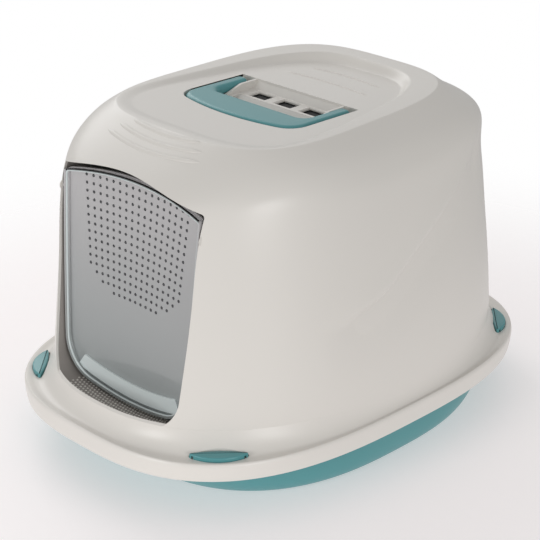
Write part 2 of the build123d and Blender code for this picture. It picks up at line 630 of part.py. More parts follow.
# ---------------------------------------------------------------- latches
with BuildPart() as latch_slot:
    with BuildSketch(Plane.XY.offset(FLANGE_UNDERSIDE - 1)):
        slot_inner = -LATCH_AXIS_INSET - LATCH_LEG_THICKNESS / 2 - LATCH_SIDE_GAP
        slot_outer = -LATCH_AXIS_INSET + LATCH_LEG_THICKNESS / 2 + LATCH_SWING_GAP
        with Locations((0, (slot_inner + slot_outer) / 2)):
            Rectangle(LATCH_LEG_LENGTH + 2 * LATCH_SIDE_GAP, slot_outer - slot_inner)
    extrude(amount=GUTTER_HEIGHT - FLANGE_UNDERSIDE + 2)

with BuildPart() as latch_ears:
    for side in BOTH_SIDES:
        with BuildSketch(Plane.YZ.offset(side * (LATCH_LEG_LENGTH / 2 + LATCH_SIDE_GAP))):
            with Locations((-LATCH_AXIS_INSET, LATCH_AXIS_HEIGHT)):
                Circle(LATCH_EAR_RADIUS)
            with Locations((-LATCH_AXIS_INSET, (LATCH_AXIS_HEIGHT + GUTTER_HEIGHT - 1) / 2)):
                Rectangle(2 * LATCH_EAR_RADIUS, LATCH_AXIS_HEIGHT - GUTTER_HEIGHT + 1)
            with Locations((-LATCH_AXIS_INSET, LATCH_AXIS_HEIGHT)):
                Circle(LATCH_PIN_RADIUS + LATCH_PIN_CLEARANCE, mode=Mode.SUBTRACT)
        extrude(amount=side * LATCH_EAR_THICKNESS)



def rim_distance():
    """How far in from a latch's middle the edge of the tray's rim stands."""
    slope_x = LATCH_X ** (GUTTER_FULLNESS - 1) / GUTTER_HALF_WIDTH ** GUTTER_FULLNESS
    slope_y = LATCH_Y ** (GUTTER_FULLNESS - 1) / GUTTER_HALF_LENGTH ** GUTTER_FULLNESS
    steepness = (slope_x ** 2 + slope_y ** 2) ** 0.5
    low, high = 0.0, LATCH_X / 2
    for halving in range(40):
        middle = (low + high) / 2
        across = (LATCH_X - middle * slope_x / steepness) / TRAY_RIM_HALF_WIDTH
        along = (LATCH_Y - middle * slope_y / steepness) / TRAY_RIM_HALF_LENGTH
        if across ** HOOD_FULLNESS + along ** HOOD_FULLNESS > 1:
            low = middle
        else:
            high = middle
    return low


LATCH_HOOK_TIP = LATCH_HOOK_GAP - rim_distance()

with BuildPart() as latch_blank:
    for inset, rounding, height, bevel, mode in (
        (0, LATCH_ROUNDING, LATCH_HEIGHT, LATCH_BEVEL, Mode.ADD),
        (LATCH_SHELL, LATCH_ROUNDING / 2, LATCH_HEIGHT - LATCH_SHELL, 0, Mode.SUBTRACT),
    ):
        end = LATCH_LENGTH / 2 - inset
        half = LATCH_WIDTH / 2 - inset
        with BuildSketch(Plane.XY.offset(LATCH_TOP - LATCH_HEIGHT)):
            with BuildLine():
                bow = ThreePointArc((-end, LATCH_END - half + 2), (0, half), (end, LATCH_END - half + 2))
                back = ThreePointArc((-end, 2 - half), (0, -half), (end, 2 - half))
                Line(bow @ 0, back @ 0)
                Line(bow @ 1, back @ 1)
            make_face()
            fillet(vertices(), rounding)
        extrude(amount=height, mode=mode)
        if bevel:
            chamfer(edges().group_by(Axis.Z)[-1], bevel)
    with BuildSketch(Plane.YZ):
        with BuildLine():
            leg_inner = -LATCH_AXIS_INSET - LATCH_LEG_THICKNESS / 2
            leg_outer = -LATCH_AXIS_INSET + LATCH_LEG_THICKNESS / 2
            leg_foot = LATCH_AXIS_HEIGHT - LATCH_LEG_DROP
            Polyline(
                (leg_inner, LATCH_TOP - LATCH_SHELL / 2),
                (leg_outer, LATCH_TOP - LATCH_SHELL / 2),
                (leg_outer, leg_foot),
                (leg_inner, leg_foot),
                (LATCH_HOOK_TIP, leg_foot + LATCH_HOOK_HEIGHT / 3),
                (LATCH_HOOK_TIP, leg_foot + LATCH_HOOK_HEIGHT),
                (leg_inner, leg_foot + LATCH_HOOK_HEIGHT),
                close=True,
            )
        make_face()
    extrude(amount=LATCH_LEG_LENGTH / 2, both=True)
    with BuildSketch(Plane.YZ):
        with Locations((-LATCH_AXIS_INSET, LATCH_AXIS_HEIGHT)):
            Circle(LATCH_PIN_RADIUS)
    extrude(amount=LATCH_LEG_LENGTH / 2 + LATCH_SIDE_GAP + LATCH_EAR_THICKNESS, both=True)
    with BuildSketch(Plane.XY.offset(LATCH_TOP)):
        with Locations((0, LATCH_DOT_SHIFT)):
            with GridLocations(LATCH_DOT_PITCH, 0, LATCH_DOT_COUNT, 1):
                Circle(LATCH_DOT_RADIUS)
    extrude(amount=-LATCH_DOT_DEPTH, mode=Mode.SUBTRACT)

LATCH_CORNERS = []
LATCH_NAMES = []
for along, row in ((-1, "front"), (1, "back")):
    for side, flank in ((-1, "left"), (1, "right")):
        slope_x = side * LATCH_X ** (GUTTER_FULLNESS - 1) / GUTTER_HALF_WIDTH ** GUTTER_FULLNESS
        slope_y = along * LATCH_Y ** (GUTTER_FULLNESS - 1) / GUTTER_HALF_LENGTH ** GUTTER_FULLNESS
        corner_plane = Plane(
            origin=(side * LATCH_X, along * LATCH_Y, 0), x_dir=(slope_y, -slope_x, 0), z_dir=(0, 0, 1)
        )
        LATCH_CORNERS.append(corner_plane.location)
        LATCH_NAMES.append(f"latch_{row}_{flank}")

for corner, latch_name in zip(LATCH_CORNERS, LATCH_NAMES):
    with BuildPart() as latch:
        with Locations(corner):
            add(latch_blank.part)
    latch.part.label = latch_name
    export_step(latch.part, f"parts/{latch_name}.step")

# ---------------------------------------------------------------- hood
with BuildPart() as hood:
    add(hood_outer)
    add(foot.part)
    add(roof_ribs.part)
    add(recess_form(0, 0), mode=Mode.SUBTRACT)
    add(plate_ribs.part)
    add(skirt.part)
    add(cavity.part, mode=Mode.SUBTRACT)
    add(door_recess.part, mode=Mode.SUBTRACT)
    add(door_frame(0, 0, DOOR_BACK_PLANE - 1, HOOD_BASE_FRONT + 20), mode=Mode.SUBTRACT)
    with BuildSketch(plate_plane.offset(-POCKET_SHELF_DEPTH)):
        add(handle_bed)
    extrude(amount=20, mode=Mode.SUBTRACT)
    add(finger_well.part, mode=Mode.SUBTRACT)
    add(cheeks.part)
    with BuildSketch(plate_plane.offset(-POCKET_SHELF_DEPTH)):
        with Locations((0, VENT_SETBACK)):
            with GridLocations(VENT_PITCH, 0, VENT_COUNT, 1):
                Rectangle(VENT_LENGTH, VENT_WIDTH)
    extrude(amount=-2 * WALL, mode=Mode.SUBTRACT)
    with BuildSketch(plate_plane.offset(-POCKET_SHELF_DEPTH)):
        with Locations((0, VENT_SETBACK)):
            with GridLocations(VENT_PITCH, 0, VENT_COUNT, 1):
                Rectangle(VENT_LENGTH + 2 * VENT_BEVEL, VENT_WIDTH + 2 * VENT_BEVEL)
    extrude(amount=-VENT_BEVEL, taper=45, mode=Mode.SUBTRACT)
    add(pin_sockets.part, mode=Mode.SUBTRACT)
    add(side_sweeps.part, mode=Mode.SUBTRACT)
    for corner in LATCH_CORNERS:
        with Locations(corner):
            add(latch_slot.part, mode=Mode.SUBTRACT)
            add(latch_ears.part)
hood.part.label = "hood"
export_step(hood.part, "parts/hood.step")

# ---------------------------------------------------------------- flap
flap_outline = door_prism(
    (
        DOOR_TOP_HALF_WIDTH - FLAP_CLEARANCE,
        DOOR_MIDDLE_HALF_WIDTH - FLAP_CLEARANCE,
        DOOR_BOTTOM_HALF_WIDTH - FLAP_CLEARANCE,
    ),
    (FLAP_TOP_MIDDLE, FLAP_TOP_CORNER, DOOR_BOTTOM_CORNER, FLAP_BOTTOM_MIDDLE),
    (DOOR_TOP_ROUNDING, FLAP_BOTTOM_ROUNDING),
    DOOR_BACK_PLANE,
    HOOD_BASE_FRONT,
)
flap_opening = door_prism(
    (
        DOOR_TOP_HALF_WIDTH - FLAP_CLEARANCE - FLAP_LIP_WIDTH,
        DOOR_MIDDLE_HALF_WIDTH - FLAP_CLEARANCE - FLAP_LIP_WIDTH,
        DOOR_BOTTOM_HALF_WIDTH - FLAP_CLEARANCE - FLAP_LIP_WIDTH,
    ),
    (
        FLAP_TOP_MIDDLE + 20,
        FLAP_TOP_CORNER + 20,
        DOOR_BOTTOM_CORNER + FLAP_LIP_WIDTH,
        FLAP_BOTTOM_MIDDLE + FLAP_LIP_WIDTH,
    ),
    (DOOR_TOP_ROUNDING - FLAP_LIP_WIDTH, FLAP_BOTTOM_ROUNDING - FLAP_LIP_WIDTH),
    DOOR_BACK_PLANE - 10,
    HOOD_BASE_FRONT + 10,
)


def flap_slab(near, far):
    """A leaning slab bowed to the back, between two depths ahead of the flap's back."""
    leaning = Plane.XY.rotated((-FLAP_LEAN, 0, 0))
    leaning.origin = (0, -FLAP_FACE_SETBACK, FLAP_FACE_HEIGHT)
    reach = DOOR_TOP_HALF_WIDTH + 10
    bow = FLAP_HOLLOW_RADIUS - (FLAP_HOLLOW_RADIUS ** 2 - reach ** 2) ** 0.5
    with BuildPart() as slab:
        with BuildSketch(leaning):
            with BuildLine():
                back = ThreePointArc((-reach, -bow - near), (0, -near), (reach, -bow - near))
                front = ThreePointArc((-reach, -bow - far), (0, -far), (reach, -bow - far))
                Line(back @ 0, front @ 0)
                Line(back @ 1, front @ 1)
            make_face()
        extrude(amount=150, both=True)
    return slab.part


with BuildPart() as flap_dish:
    add(flap_opening)
    add(flap_slab(FLAP_THICKNESS, FLAP_THICKNESS + 2 * FLAP_LIP_DEPTH), mode=Mode.INTERSECT)

with BuildPart() as flap:
    add(flap_outline)
    add(flap_slab(0, FLAP_THICKNESS + FLAP_LIP_DEPTH), mode=Mode.INTERSECT)
    add(flap_dish.part, mode=Mode.SUBTRACT)
    for side in BOTH_SIDES:
        with BuildSketch(Plane.YZ.offset(side * FLAP_PIN_ROOT)):
            with Locations((-FLAP_PIN_SETBACK, FLAP_PIN_HEIGHT)):
                Circle(FLAP_PIN_RADIUS)
        extrude(amount=side * (FLAP_PIN_TIP - FLAP_PIN_ROOT))
flap.part.label = "flap"
export_step(flap.part, "parts/flap.step")

# ---------------------------------------------------------------- handle
handle_face = handle_outline(Plane.XY, 0, HANDLE_PIVOT_SETBACK + HANDLE_TAIL, True)
handle_underside = plate_plane.offset(-HANDLE_DROP - HANDLE_THICKNESS)

with BuildPart() as handle:
    with BuildSketch(handle_underside):
        add(handle_face)
    extrude(amount=HANDLE_THICKNESS)
    fillet(edges().group_by(Axis.Z)[-1], HANDLE_EDGE_ROUNDING)
    with BuildSketch(handle_underside):
        add(offset(handle_face, -HANDLE_SHELL, mode=Mode.PRIVATE))
    extrude(amount=HANDLE_THICKNESS - HANDLE_SHELL, mode=Mode.SUBTRACT)
    for side in BOTH_SIDES:
        with BuildSketch(Plane.YZ.offset(side * (HANDLE_HALF_WIDTH - HANDLE_ARM + HANDLE_SHELL / 2))):
            with Locations((HANDLE_PIVOT_SETBACK, HANDLE_PIVOT_HEIGHT)):
                Circle(HANDLE_PIN_RADIUS)
        extrude(amount=side * (HANDLE_PIN_TIP - HANDLE_HALF_WIDTH + HANDLE_ARM - HANDLE_SHELL / 2))
handle.part.label = "handle"
export_step(handle.part, "parts/handle.step")

# ---------------------------------------------------------------- filter
with BuildPart() as filter_holder:
    with BuildSketch(Plane.XY.offset(HOLDER_BOTTOM)):
        with Locations((0, FILTER_SETBACK)):
            Rectangle(
                FILTER_LENGTH + 2 * (SEAT_GAP + HOLDER_WALL), FILTER_WIDTH + 2 * (SEAT_GAP + HOLDER_WALL)
            )
        fillet(vertices(), HOLDER_WALL)
    extrude(amount=HOLDER_HEIGHT)
    with BuildSketch(Plane.XY.offset(HOLDER_BOTTOM)):
        with Locations((0, FILTER_SETBACK)):
            Rectangle(
                FILTER_LENGTH + 2 * (SEAT_GAP + HOLDER_WALL + HOLDER_FLANGE),
                FILTER_WIDTH + 2 * (SEAT_GAP + HOLDER_WALL + HOLDER_FLANGE),
            )
        fillet(vertices(), HOLDER_FLANGE)
    extrude(amount=-HOLDER_WALL)
    with BuildSketch(Plane.XY.offset(HOLDER_TOP)):
        with Locations((0, FILTER_SETBACK)):
            Rectangle(FILTER_LENGTH + 2 * SEAT_GAP, FILTER_WIDTH + 2 * SEAT_GAP)
    extrude(amount=-HOLDER_HEIGHT, mode=Mode.SUBTRACT)
    with BuildSketch(Plane.XY.offset(HOLDER_BOTTOM)):
        with Locations((0, FILTER_SETBACK)):
            with GridLocations(HOLDER_SLOT_PITCH, 0, HOLDER_SLOT_COUNT, 1):
                SlotOverall(FILTER_WIDTH - HOLDER_SLOT_WIDTH, HOLDER_SLOT_WIDTH, rotation=90)
    extrude(amount=-HOLDER_WALL, mode=Mode.SUBTRACT)
filter_holder.part.label = "filter_holder"
export_step(filter_holder.part, "parts/filter_holder.step")

with BuildPart() as filter_pad:
    with BuildSketch(Plane.XY.offset(HOLDER_BOTTOM + SEAT_GAP)):
        with Locations((0, FILTER_SETBACK)):
            Rectangle(FILTER_LENGTH, FILTER_WIDTH)
    extrude(amount=FILTER_THICKNESS)
filter_pad.part.label = "filter_pad"
export_step(filter_pad.part, "parts/filter_pad.step")
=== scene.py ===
"""A hooded pet litter box: oval tray, domed hood, clear swing flap, folding handle and rim latches."""
import logging
import math
from collections.abc import Callable
from dataclasses import dataclass, field
from enum import Enum

import bmesh
import bpy
import numpy as np
from mathutils import Matrix, Vector


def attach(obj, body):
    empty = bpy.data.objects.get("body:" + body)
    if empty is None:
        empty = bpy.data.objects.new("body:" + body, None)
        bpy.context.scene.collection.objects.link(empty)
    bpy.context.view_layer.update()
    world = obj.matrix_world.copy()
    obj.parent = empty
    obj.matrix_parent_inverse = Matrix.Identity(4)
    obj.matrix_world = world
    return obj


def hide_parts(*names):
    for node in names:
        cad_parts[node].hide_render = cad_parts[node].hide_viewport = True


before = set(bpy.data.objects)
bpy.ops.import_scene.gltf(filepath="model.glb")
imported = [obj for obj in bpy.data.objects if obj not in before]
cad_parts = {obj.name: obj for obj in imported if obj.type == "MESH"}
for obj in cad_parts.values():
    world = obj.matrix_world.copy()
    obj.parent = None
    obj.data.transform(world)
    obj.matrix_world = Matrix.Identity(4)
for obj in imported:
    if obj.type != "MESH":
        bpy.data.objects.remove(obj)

logging.basicConfig(level=logging.INFO, format="%(message)s")
LOG = logging.getLogger("litter_box")

MM = 0.001
FLAP_HINGE = (-202, 281)
HANDLE_HINGE = (22, 346.1)
LATCH_HINGE = (-3.4, 63.6)
SMOOTH_BELOW = 30.0
RIM_SMOOTH_BELOW = 32.0
WHITE = (1.0, 1.0, 1.0, 1.0)
Colour = tuple[float, float, float]
Curve = Callable[[np.ndarray], np.ndarray]
Surface = Callable[[np.ndarray, np.ndarray], np.ndarray]


def srgb(red: float, green: float, blue: float) -> Colour:
    """Turn a display colour into the linear one that shaders use.

    Args:
        red: Red on a display, 0 to 255.
        green: Green on a display, 0 to 255.
        blue: Blue on a display, 0 to 255.

    Returns:
        The linear colour.
    """
    def linear(value: float) -> float:
        """Linear share of one channel."""
        share = value / 255.0
        return share / 12.92 if share <= 0.04045 else ((share + 0.055) / 1.055) ** 2.4

    return (linear(red), linear(green), linear(blue))


# ------------------------------------------------------------------ outlines


def run_along(points: np.ndarray) -> np.ndarray:
    """How far along a line each of its points lies."""
    return np.concatenate([[0.0], np.cumsum(np.linalg.norm(np.diff(points, axis=0), axis=1))])


def point_at(points: np.ndarray, run: np.ndarray, at: np.ndarray) -> np.ndarray:
    """Points of a flat line at given runs."""
    return np.stack([np.interp(at, run, points[:, 0]), np.interp(at, run, points[:, 1])], axis=-1)


def straights(corners: list, counts: tuple) -> list[np.ndarray]:
    """Straight lines from each corner to the next."""
    return [np.linspace(start, end, count) for start, end, count in zip(corners, corners[1:], counts)]


class Outline:
    """The turning steps shared by every oval of the box, spread evenly along its edge."""

    def __init__(self, count: int) -> None:
        """Lay out the steps.

        Args:
            count: How many points each oval has.
        """
        dense = np.linspace(0.0, 2 * math.pi, 6001)
        points = self.at(dense, 196.0, 262.0, 262.0, 2.4)
        run = run_along(points)
        wanted = np.linspace(0.0, run[-1], count + 1)[:-1]
        self.turns = np.interp(wanted, run, dense)

    @staticmethod
    def at(
        turns: np.ndarray, half_width: float, front: float, back: float, fullness: float, taper: float = 0.0
    ) -> np.ndarray:
        """Points of an oval with its own front and back reach.

        Args:
            turns: The turning steps, in radians.
            half_width: Half the width.
            front: Reach towards the doorway.
            back: Reach towards the back.
            fullness: 2 for an ellipse, more for a squarer oval.
            taper: How much narrower the back is, as a share.

        Returns:
            The points, one per row.
        """
        cosines, sines = np.cos(turns), np.sin(turns)
        across = np.sign(cosines) * np.abs(cosines) ** (2 / fullness)
        along = np.sign(sines) * np.abs(sines) ** (2 / fullness)
        reach = np.where(sines > 0, back, front)
        return np.stack([half_width * across * (1 - taper * along), reach * along], axis=1)

    def ring(self, size: tuple, level: float, tilt: float = 0.0) -> np.ndarray:
        """One oval in space."""
        flat = self.at(self.turns, *size)
        return np.column_stack([flat, level + tilt * flat[:, 1]])


def smooth_curve(places: np.ndarray, values: np.ndarray) -> Curve:
    """A natural cubic through the values.

    Args:
        places: Rising places.
        values: The value at each place, one column per quantity.

    Returns:
        A function from places to values.
    """
    places = np.asarray(places, float)
    values = np.asarray(values, float)
    count = len(places)
    gaps = np.diff(places)
    matrix = np.eye(count)
    right = np.zeros_like(values)
    for i in range(1, count - 1):
        matrix[i, i - 1 : i + 2] = gaps[i - 1], 2 * (gaps[i - 1] + gaps[i]), gaps[i]
        right[i] = 6 * ((values[i + 1] - values[i]) / gaps[i] - (values[i] - values[i - 1]) / gaps[i - 1])
    bends = np.linalg.solve(matrix, right)

    def curve(at: np.ndarray) -> np.ndarray:
        """Values of the cubic at the places."""
        at = np.clip(np.asarray(at, float), places[0], places[-1])
        i = np.clip(np.searchsorted(places, at, side="right") - 1, 0, count - 2)
        gap = gaps[i][:, None]
        low, high = (at - places[i])[:, None], (places[i + 1] - at)[:, None]
        return (
            (bends[i] * high**3 + bends[i + 1] * low**3) / (6 * gap)
            + (values[i] / gap - bends[i] * gap / 6) * high
            + (values[i + 1] / gap - bends[i + 1] * gap / 6) * low
        )

    return curve


def arc_through(start: tuple, middle: tuple, end: tuple, count: int) -> list[tuple[float, float]]:
    """Points of the round arc through three points.

    Args:
        start: First point.
        middle: A point on the way.
        end: Last point.
        count: How many points, both ends counted.

    Returns:
        The points.
    """
    (ax, ay), (bx, by), (cx, cy) = start, middle, end
    d = 2 * (ax * (by - cy) + bx * (cy - ay) + cx * (ay - by))
    ux = ((ax**2 + ay**2) * (by - cy) + (bx**2 + by**2) * (cy - ay) + (cx**2 + cy**2) * (ay - by)) / d
    uy = ((ax**2 + ay**2) * (cx - bx) + (bx**2 + by**2) * (ax - cx) + (cx**2 + cy**2) * (bx - ax)) / d
    radius = math.hypot(ax - ux, ay - uy)
    first, mid, last = (math.atan2(y - uy, x - ux) for x, y in (start, middle, end))
    sweep = (last - first) % (2 * math.pi)
    if (mid - first) % (2 * math.pi) > sweep:
        sweep -= 2 * math.pi
    turns = [first + sweep * i / (count - 1) for i in range(count)]
    return [(ux + radius * math.cos(t), uy + radius * math.sin(t)) for t in turns]


# ------------------------------------------------------------------ meshes


def to_scene(name: str, data: bpy.types.ID) -> bpy.types.Object:
    """Put a mesh, lamp or camera into the scene.

    Args:
        name: The object's name.
        data: What it shows.

    Returns:
        The object.
    """
    made = bpy.data.objects.new(name, data)
    bpy.context.scene.collection.objects.link(made)
    return made


def smooth(mesh: bpy.types.Mesh, below: float = SMOOTH_BELOW) -> None:
    """Shade a mesh smooth across its gentle edges."""
    mesh.polygons.foreach_set("use_smooth", [True] * len(mesh.polygons))
    mesh.set_sharp_from_angle(angle=math.radians(below))


def to_object(mesh: bpy.types.Mesh, name: str, smooth_below: float = 35.0) -> bpy.types.Object:
    """Make a scene object of a mesh, smooth across its gentle edges.

    Args:
        mesh: The mesh.
        name: The object's name.
        smooth_below: Edges that turn less than this many degrees are smooth.

    Returns:
        The object.
    """
    mesh.name = name
    smooth(mesh, smooth_below)
    return to_scene(name, mesh)


def settle(built: bmesh.types.BMesh, name: str, outward: bool = True) -> bpy.types.Mesh:
    """Turn a finished build into a mesh and free it.

    Args:
        built: The build, which is used up.
        name: The mesh's name.
        outward: True to turn all faces outward first.

    Returns:
        The mesh.
    """
    if outward:
        bmesh.ops.recalc_face_normals(built, faces=built.faces)
    mesh = bpy.data.meshes.new(name)
    built.to_mesh(mesh)
    built.free()
    return mesh


def circle(y: float, z: float, radius: float, steps: int) -> list[tuple[float, float]]:
    """Points of a circle seen from the side."""
    turns = np.linspace(0, 2 * math.pi, steps + 1)[:-1]
    return [(y + radius * math.cos(a), z + radius * math.sin(a)) for a in turns]


def box_loop(half: float, near: float, far: float) -> list[tuple[float, float]]:
    """A rectangle that is even about the middle."""
    return [(-half, near), (half, near), (half, far), (-half, far)]


def both_sides(outline: list, near: float, far: float) -> list:
    """A prism across the width on each side."""
    return [prism_mesh(outline, side * near, side * far, "X") for side in (-1, 1)]


def strip_mesh(rings: np.ndarray, close_rings: bool, cap_first: bool, cap_last: bool) -> bpy.types.Mesh:
    """Join rings of equal point counts into a skin, in metres.

    Args:
        rings: Ring, point and coordinate, in millimetres.
        close_rings: True to join the last ring to the first.
        cap_first: True to close the first ring with one point.
        cap_last: True to close the last ring with one point.

    Returns:
        The mesh.
    """
    rows, count = rings.shape[0], rings.shape[1]
    built = bmesh.new()
    verts = [[built.verts.new(p * MM) for p in ring] for ring in rings]
    pairs = rows if close_rings else rows - 1
    for i in range(pairs):
        low, high = verts[i], verts[(i + 1) % rows]
        for j in range(count):
            k = (j + 1) % count
            built.faces.new((low[j], low[k], high[k], high[j]))
    for wanted, index, flip in ((cap_first, 0, True), (cap_last, rows - 1, False)):
        if wanted:
            centre = built.verts.new(rings[index].mean(axis=0) * MM)
            for j in range(count):
                k = (j + 1) % count
                a, b = verts[index][j], verts[index][k]
                built.faces.new((b, a, centre) if flip else (a, b, centre))
    return settle(built, "skin")


def stack_mesh(loops: list, along: str = "Z") -> bpy.types.Mesh:
    """Join flat loops of equal point counts into a closed body, in metres.

    Args:
        loops: Each loop's points and its place along the axis, in millimetres.
        along: Z, Y or X.

    Returns:
        The mesh.
    """
    def placed(point: np.ndarray, level: float) -> Vector:
        """A loop's point in space, in metres."""
        a, b = float(point[0]), float(point[1])
        spots = {"Z": (a, b, level), "Y": (a, level, b), "X": (level, a, b)}
        return Vector(spots[along]) * MM

    built = bmesh.new()
    rows = [[built.verts.new(placed(p, level)) for p in loop] for loop, level in loops]
    count = len(rows[0])
    for below, above in zip(rows, rows[1:]):
        for j in range(count):
            k = (j + 1) % count
            built.faces.new((below[j], below[k], above[k], above[j]))
    built.faces.new(rows[0][::-1])
    built.faces.new(rows[-1])
    return settle(built, "stack")


def prism_mesh(
    outline: list, low: float, high: float, along: str = "Z", bevel: float = 0.0
) -> bpy.types.Mesh:
    """A flat outline run straight between two places along an axis.

    Args:
        outline: Points of the outline, in millimetres: X and Y, X and Z or Y and Z.
        low: Where the prism starts.
        high: Where it ends.
        along: Z, Y or X.
        bevel: Width of the rounding at the far end's edge.

    Returns:
        The mesh, in metres.
    """
    flat = np.asarray(outline, float)
    loops = [(flat, low)]
    if bevel:
        for turn in np.linspace(0.0, math.pi / 2, 6):
            inset, drop = bevel * (1 - math.cos(turn)), bevel * (1 - math.sin(turn))
            loops.append((grown(flat, -inset), high - drop))
    else:
        loops.append((flat, high))
    return stack_mesh(loops, along)


def cut(body: bpy.types.Object, tool_mesh: bpy.types.Mesh, operation: str = "DIFFERENCE") -> None:
    """Cut or join a body with a tool and drop the tool.

    Args:
        body: The piece that changes.
        tool_mesh: The tool.
        operation: DIFFERENCE, UNION or INTERSECT.
    """
    tool = to_scene("tool", tool_mesh)
    step = body.modifiers.new("cut", "BOOLEAN")
    step.operation = operation
    step.solver = "MANIFOLD"
    step.object = tool
    bake(body)
    bpy.data.objects.remove(tool)
    bpy.data.meshes.remove(tool_mesh)


def bake(body: bpy.types.Object) -> None:
    """Turn a body's modifiers into plain mesh.

    Args:
        body: The piece.
    """
    bpy.context.view_layer.update()
    graph = bpy.context.evaluated_depsgraph_get()
    old = body.data
    fresh = bpy.data.meshes.new_from_object(body.evaluated_get(graph))
    body.modifiers.clear()
    body.data = fresh
    fresh.name = body.name
    bpy.data.meshes.remove(old)


def merged(name: str, pieces: list) -> bpy.types.Mesh:
    """Put several meshes into one.

    Args:
        name: The mesh's name.
        pieces: Meshes, which are used up.

    Returns:
        The mesh.
    """
    built = bmesh.new()
    for piece in pieces:
        built.from_mesh(piece)
        bpy.data.meshes.remove(piece)
    return settle(built, name, False)


def join(name: str, pieces: list) -> bpy.types.Object:
    """Put several meshes into one object."""
    return to_object(merged(name, pieces), name)


# ------------------------------------------------------------------ finishes


def add(nodes: bpy.types.Nodes, kind: str, values: dict | None = None, **settings: str) -> bpy.types.Node:
    """Add a node and set its constants.

    Args:
        nodes: The tree's nodes.
        kind: The node's type.
        values: Constants of its inputs, by name or place.
        settings: Its own settings.

    Returns:
        The node.
    """
    made = nodes.new(kind)
    for key, value in settings.items():
        setattr(made, key, value)
    for key, value in (values or {}).items():
        made.inputs[key].default_value = value
    return made


def wire(links: bpy.types.NodeLinks, *runs: tuple) -> None:
    """Connect nodes."""
    for source, output, target, given in runs:
        links.new(source.outputs[output], target.inputs[given])


class Sheen(Enum):
    """How a moulded plastic takes the light."""

    SATIN = (0.34, 0.5)
    GLOSS = (0.2, 0.5)
    MATT = (0.62, 0.35)


@dataclass(frozen=True)
class Plastic:
    """A moulded plastic with a faint grain.

    Attributes:
        name: Material name.
        colour: Linear base colour.
        sheen: How it takes the light.
        grain: Height of the fine grain, in millimetres.
    """

    name: str
    colour: Colour
    sheen: Sheen = Sheen.SATIN
    grain: float = 0.0

    def make(self) -> bpy.types.Material:
        """Build the material.

        Returns:
            The material.
        """
        made = bpy.data.materials.new(self.name)
        made.use_nodes = True
        nodes, links = made.node_tree.nodes, made.node_tree.links
        shader = nodes["Principled BSDF"]
        roughness, specular = self.sheen.value
        shader.inputs["Base Color"].default_value = (*self.colour, 1.0)
        shader.inputs["Roughness"].default_value = roughness
        shader.inputs["Specular IOR Level"].default_value = specular
        if self.grain:
            where = add(nodes, "ShaderNodeTexCoord")
            noise = add(nodes, "ShaderNodeTexNoise", {"Scale": 900.0, "Detail": 2.0})
            bump = add(nodes, "ShaderNodeBump", {"Strength": 1.0, "Distance": self.grain * MM})
            wire(
                links,
                (where, "Object", noise, "Vector"),
                (noise, "Fac", bump, "Height"),
                (bump, "Normal", shader, "Normal"),
            )
        return made


@dataclass(frozen=True)
class ClearPlastic:
    """A thin clear moulding that lets most light straight through.

    Attributes:
        name: Material name.
        tint: Linear colour of what passes through.
        body: Linear colour of its faint haze at the top, lighter: painted light of the lit inside seen
            through the flap.
        low_haze_shade: Linear colour of the haze at the bottom, darker and teal-grey: painted shade of the
            inside and the tray seen through the flap.
        haze: Share of light the haze takes.
        roughness: How broad its reflections are.
    """

    name: str
    tint: Colour
    body: Colour
    low_haze_shade: Colour
    haze: float
    roughness: float

    def make(self) -> bpy.types.Material:
        """Build the material.

        Returns:
            The material.
        """
        made = bpy.data.materials.new(self.name)
        made.use_nodes = True
        nodes, links = made.node_tree.nodes, made.node_tree.links
        nodes.remove(nodes["Principled BSDF"])
        clear = add(nodes, "ShaderNodeBsdfTransparent", {"Color": (*self.tint, 1.0)})
        milk = add(nodes, "ShaderNodeBsdfDiffuse")
        # The haze runs from a darker teal-grey at the bottom to a lighter tone at the top: painted light and
        # shade of the inside seen through the flap.
        where = add(nodes, "ShaderNodeTexCoord")
        split = add(nodes, "ShaderNodeSeparateXYZ")
        span = add(nodes, "ShaderNodeMapRange", {"From Min": 0.08, "From Max": 0.3})
        shade = add(nodes, "ShaderNodeMix", data_type="RGBA")
        shade.inputs["A"].default_value = (*self.low_haze_shade, 1.0)
        shade.inputs["B"].default_value = (*self.body, 1.0)
        gloss = add(nodes, "ShaderNodeBsdfGlossy", {"Color": WHITE, "Roughness": self.roughness})
        hazy = add(nodes, "ShaderNodeMixShader", {"Fac": self.haze})
        edge = add(nodes, "ShaderNodeFresnel", {"IOR": 1.45})
        coat = add(nodes, "ShaderNodeMixShader")
        wire(
            links,
            (where, "Object", split, "Vector"),
            (split, "Z", span, "Value"),
            (span, "Result", shade, "Factor"),
            (shade, "Result", milk, "Color"),
            (clear, "BSDF", hazy, 1),
            (milk, "BSDF", hazy, 2),
            (edge, "Fac", coat, "Fac"),
            (hazy, "Shader", coat, 1),
            (gloss, "BSDF", coat, 2),
            (coat, "Shader", nodes["Material Output"], "Surface"),
        )
        return made


def paint(piece: bpy.types.Object, finish: bpy.types.Material) -> None:
    """Give a piece one finish."""
    piece.data.materials.clear()
    piece.data.materials.append(finish)


# ------------------------------------------------------------------ repeats


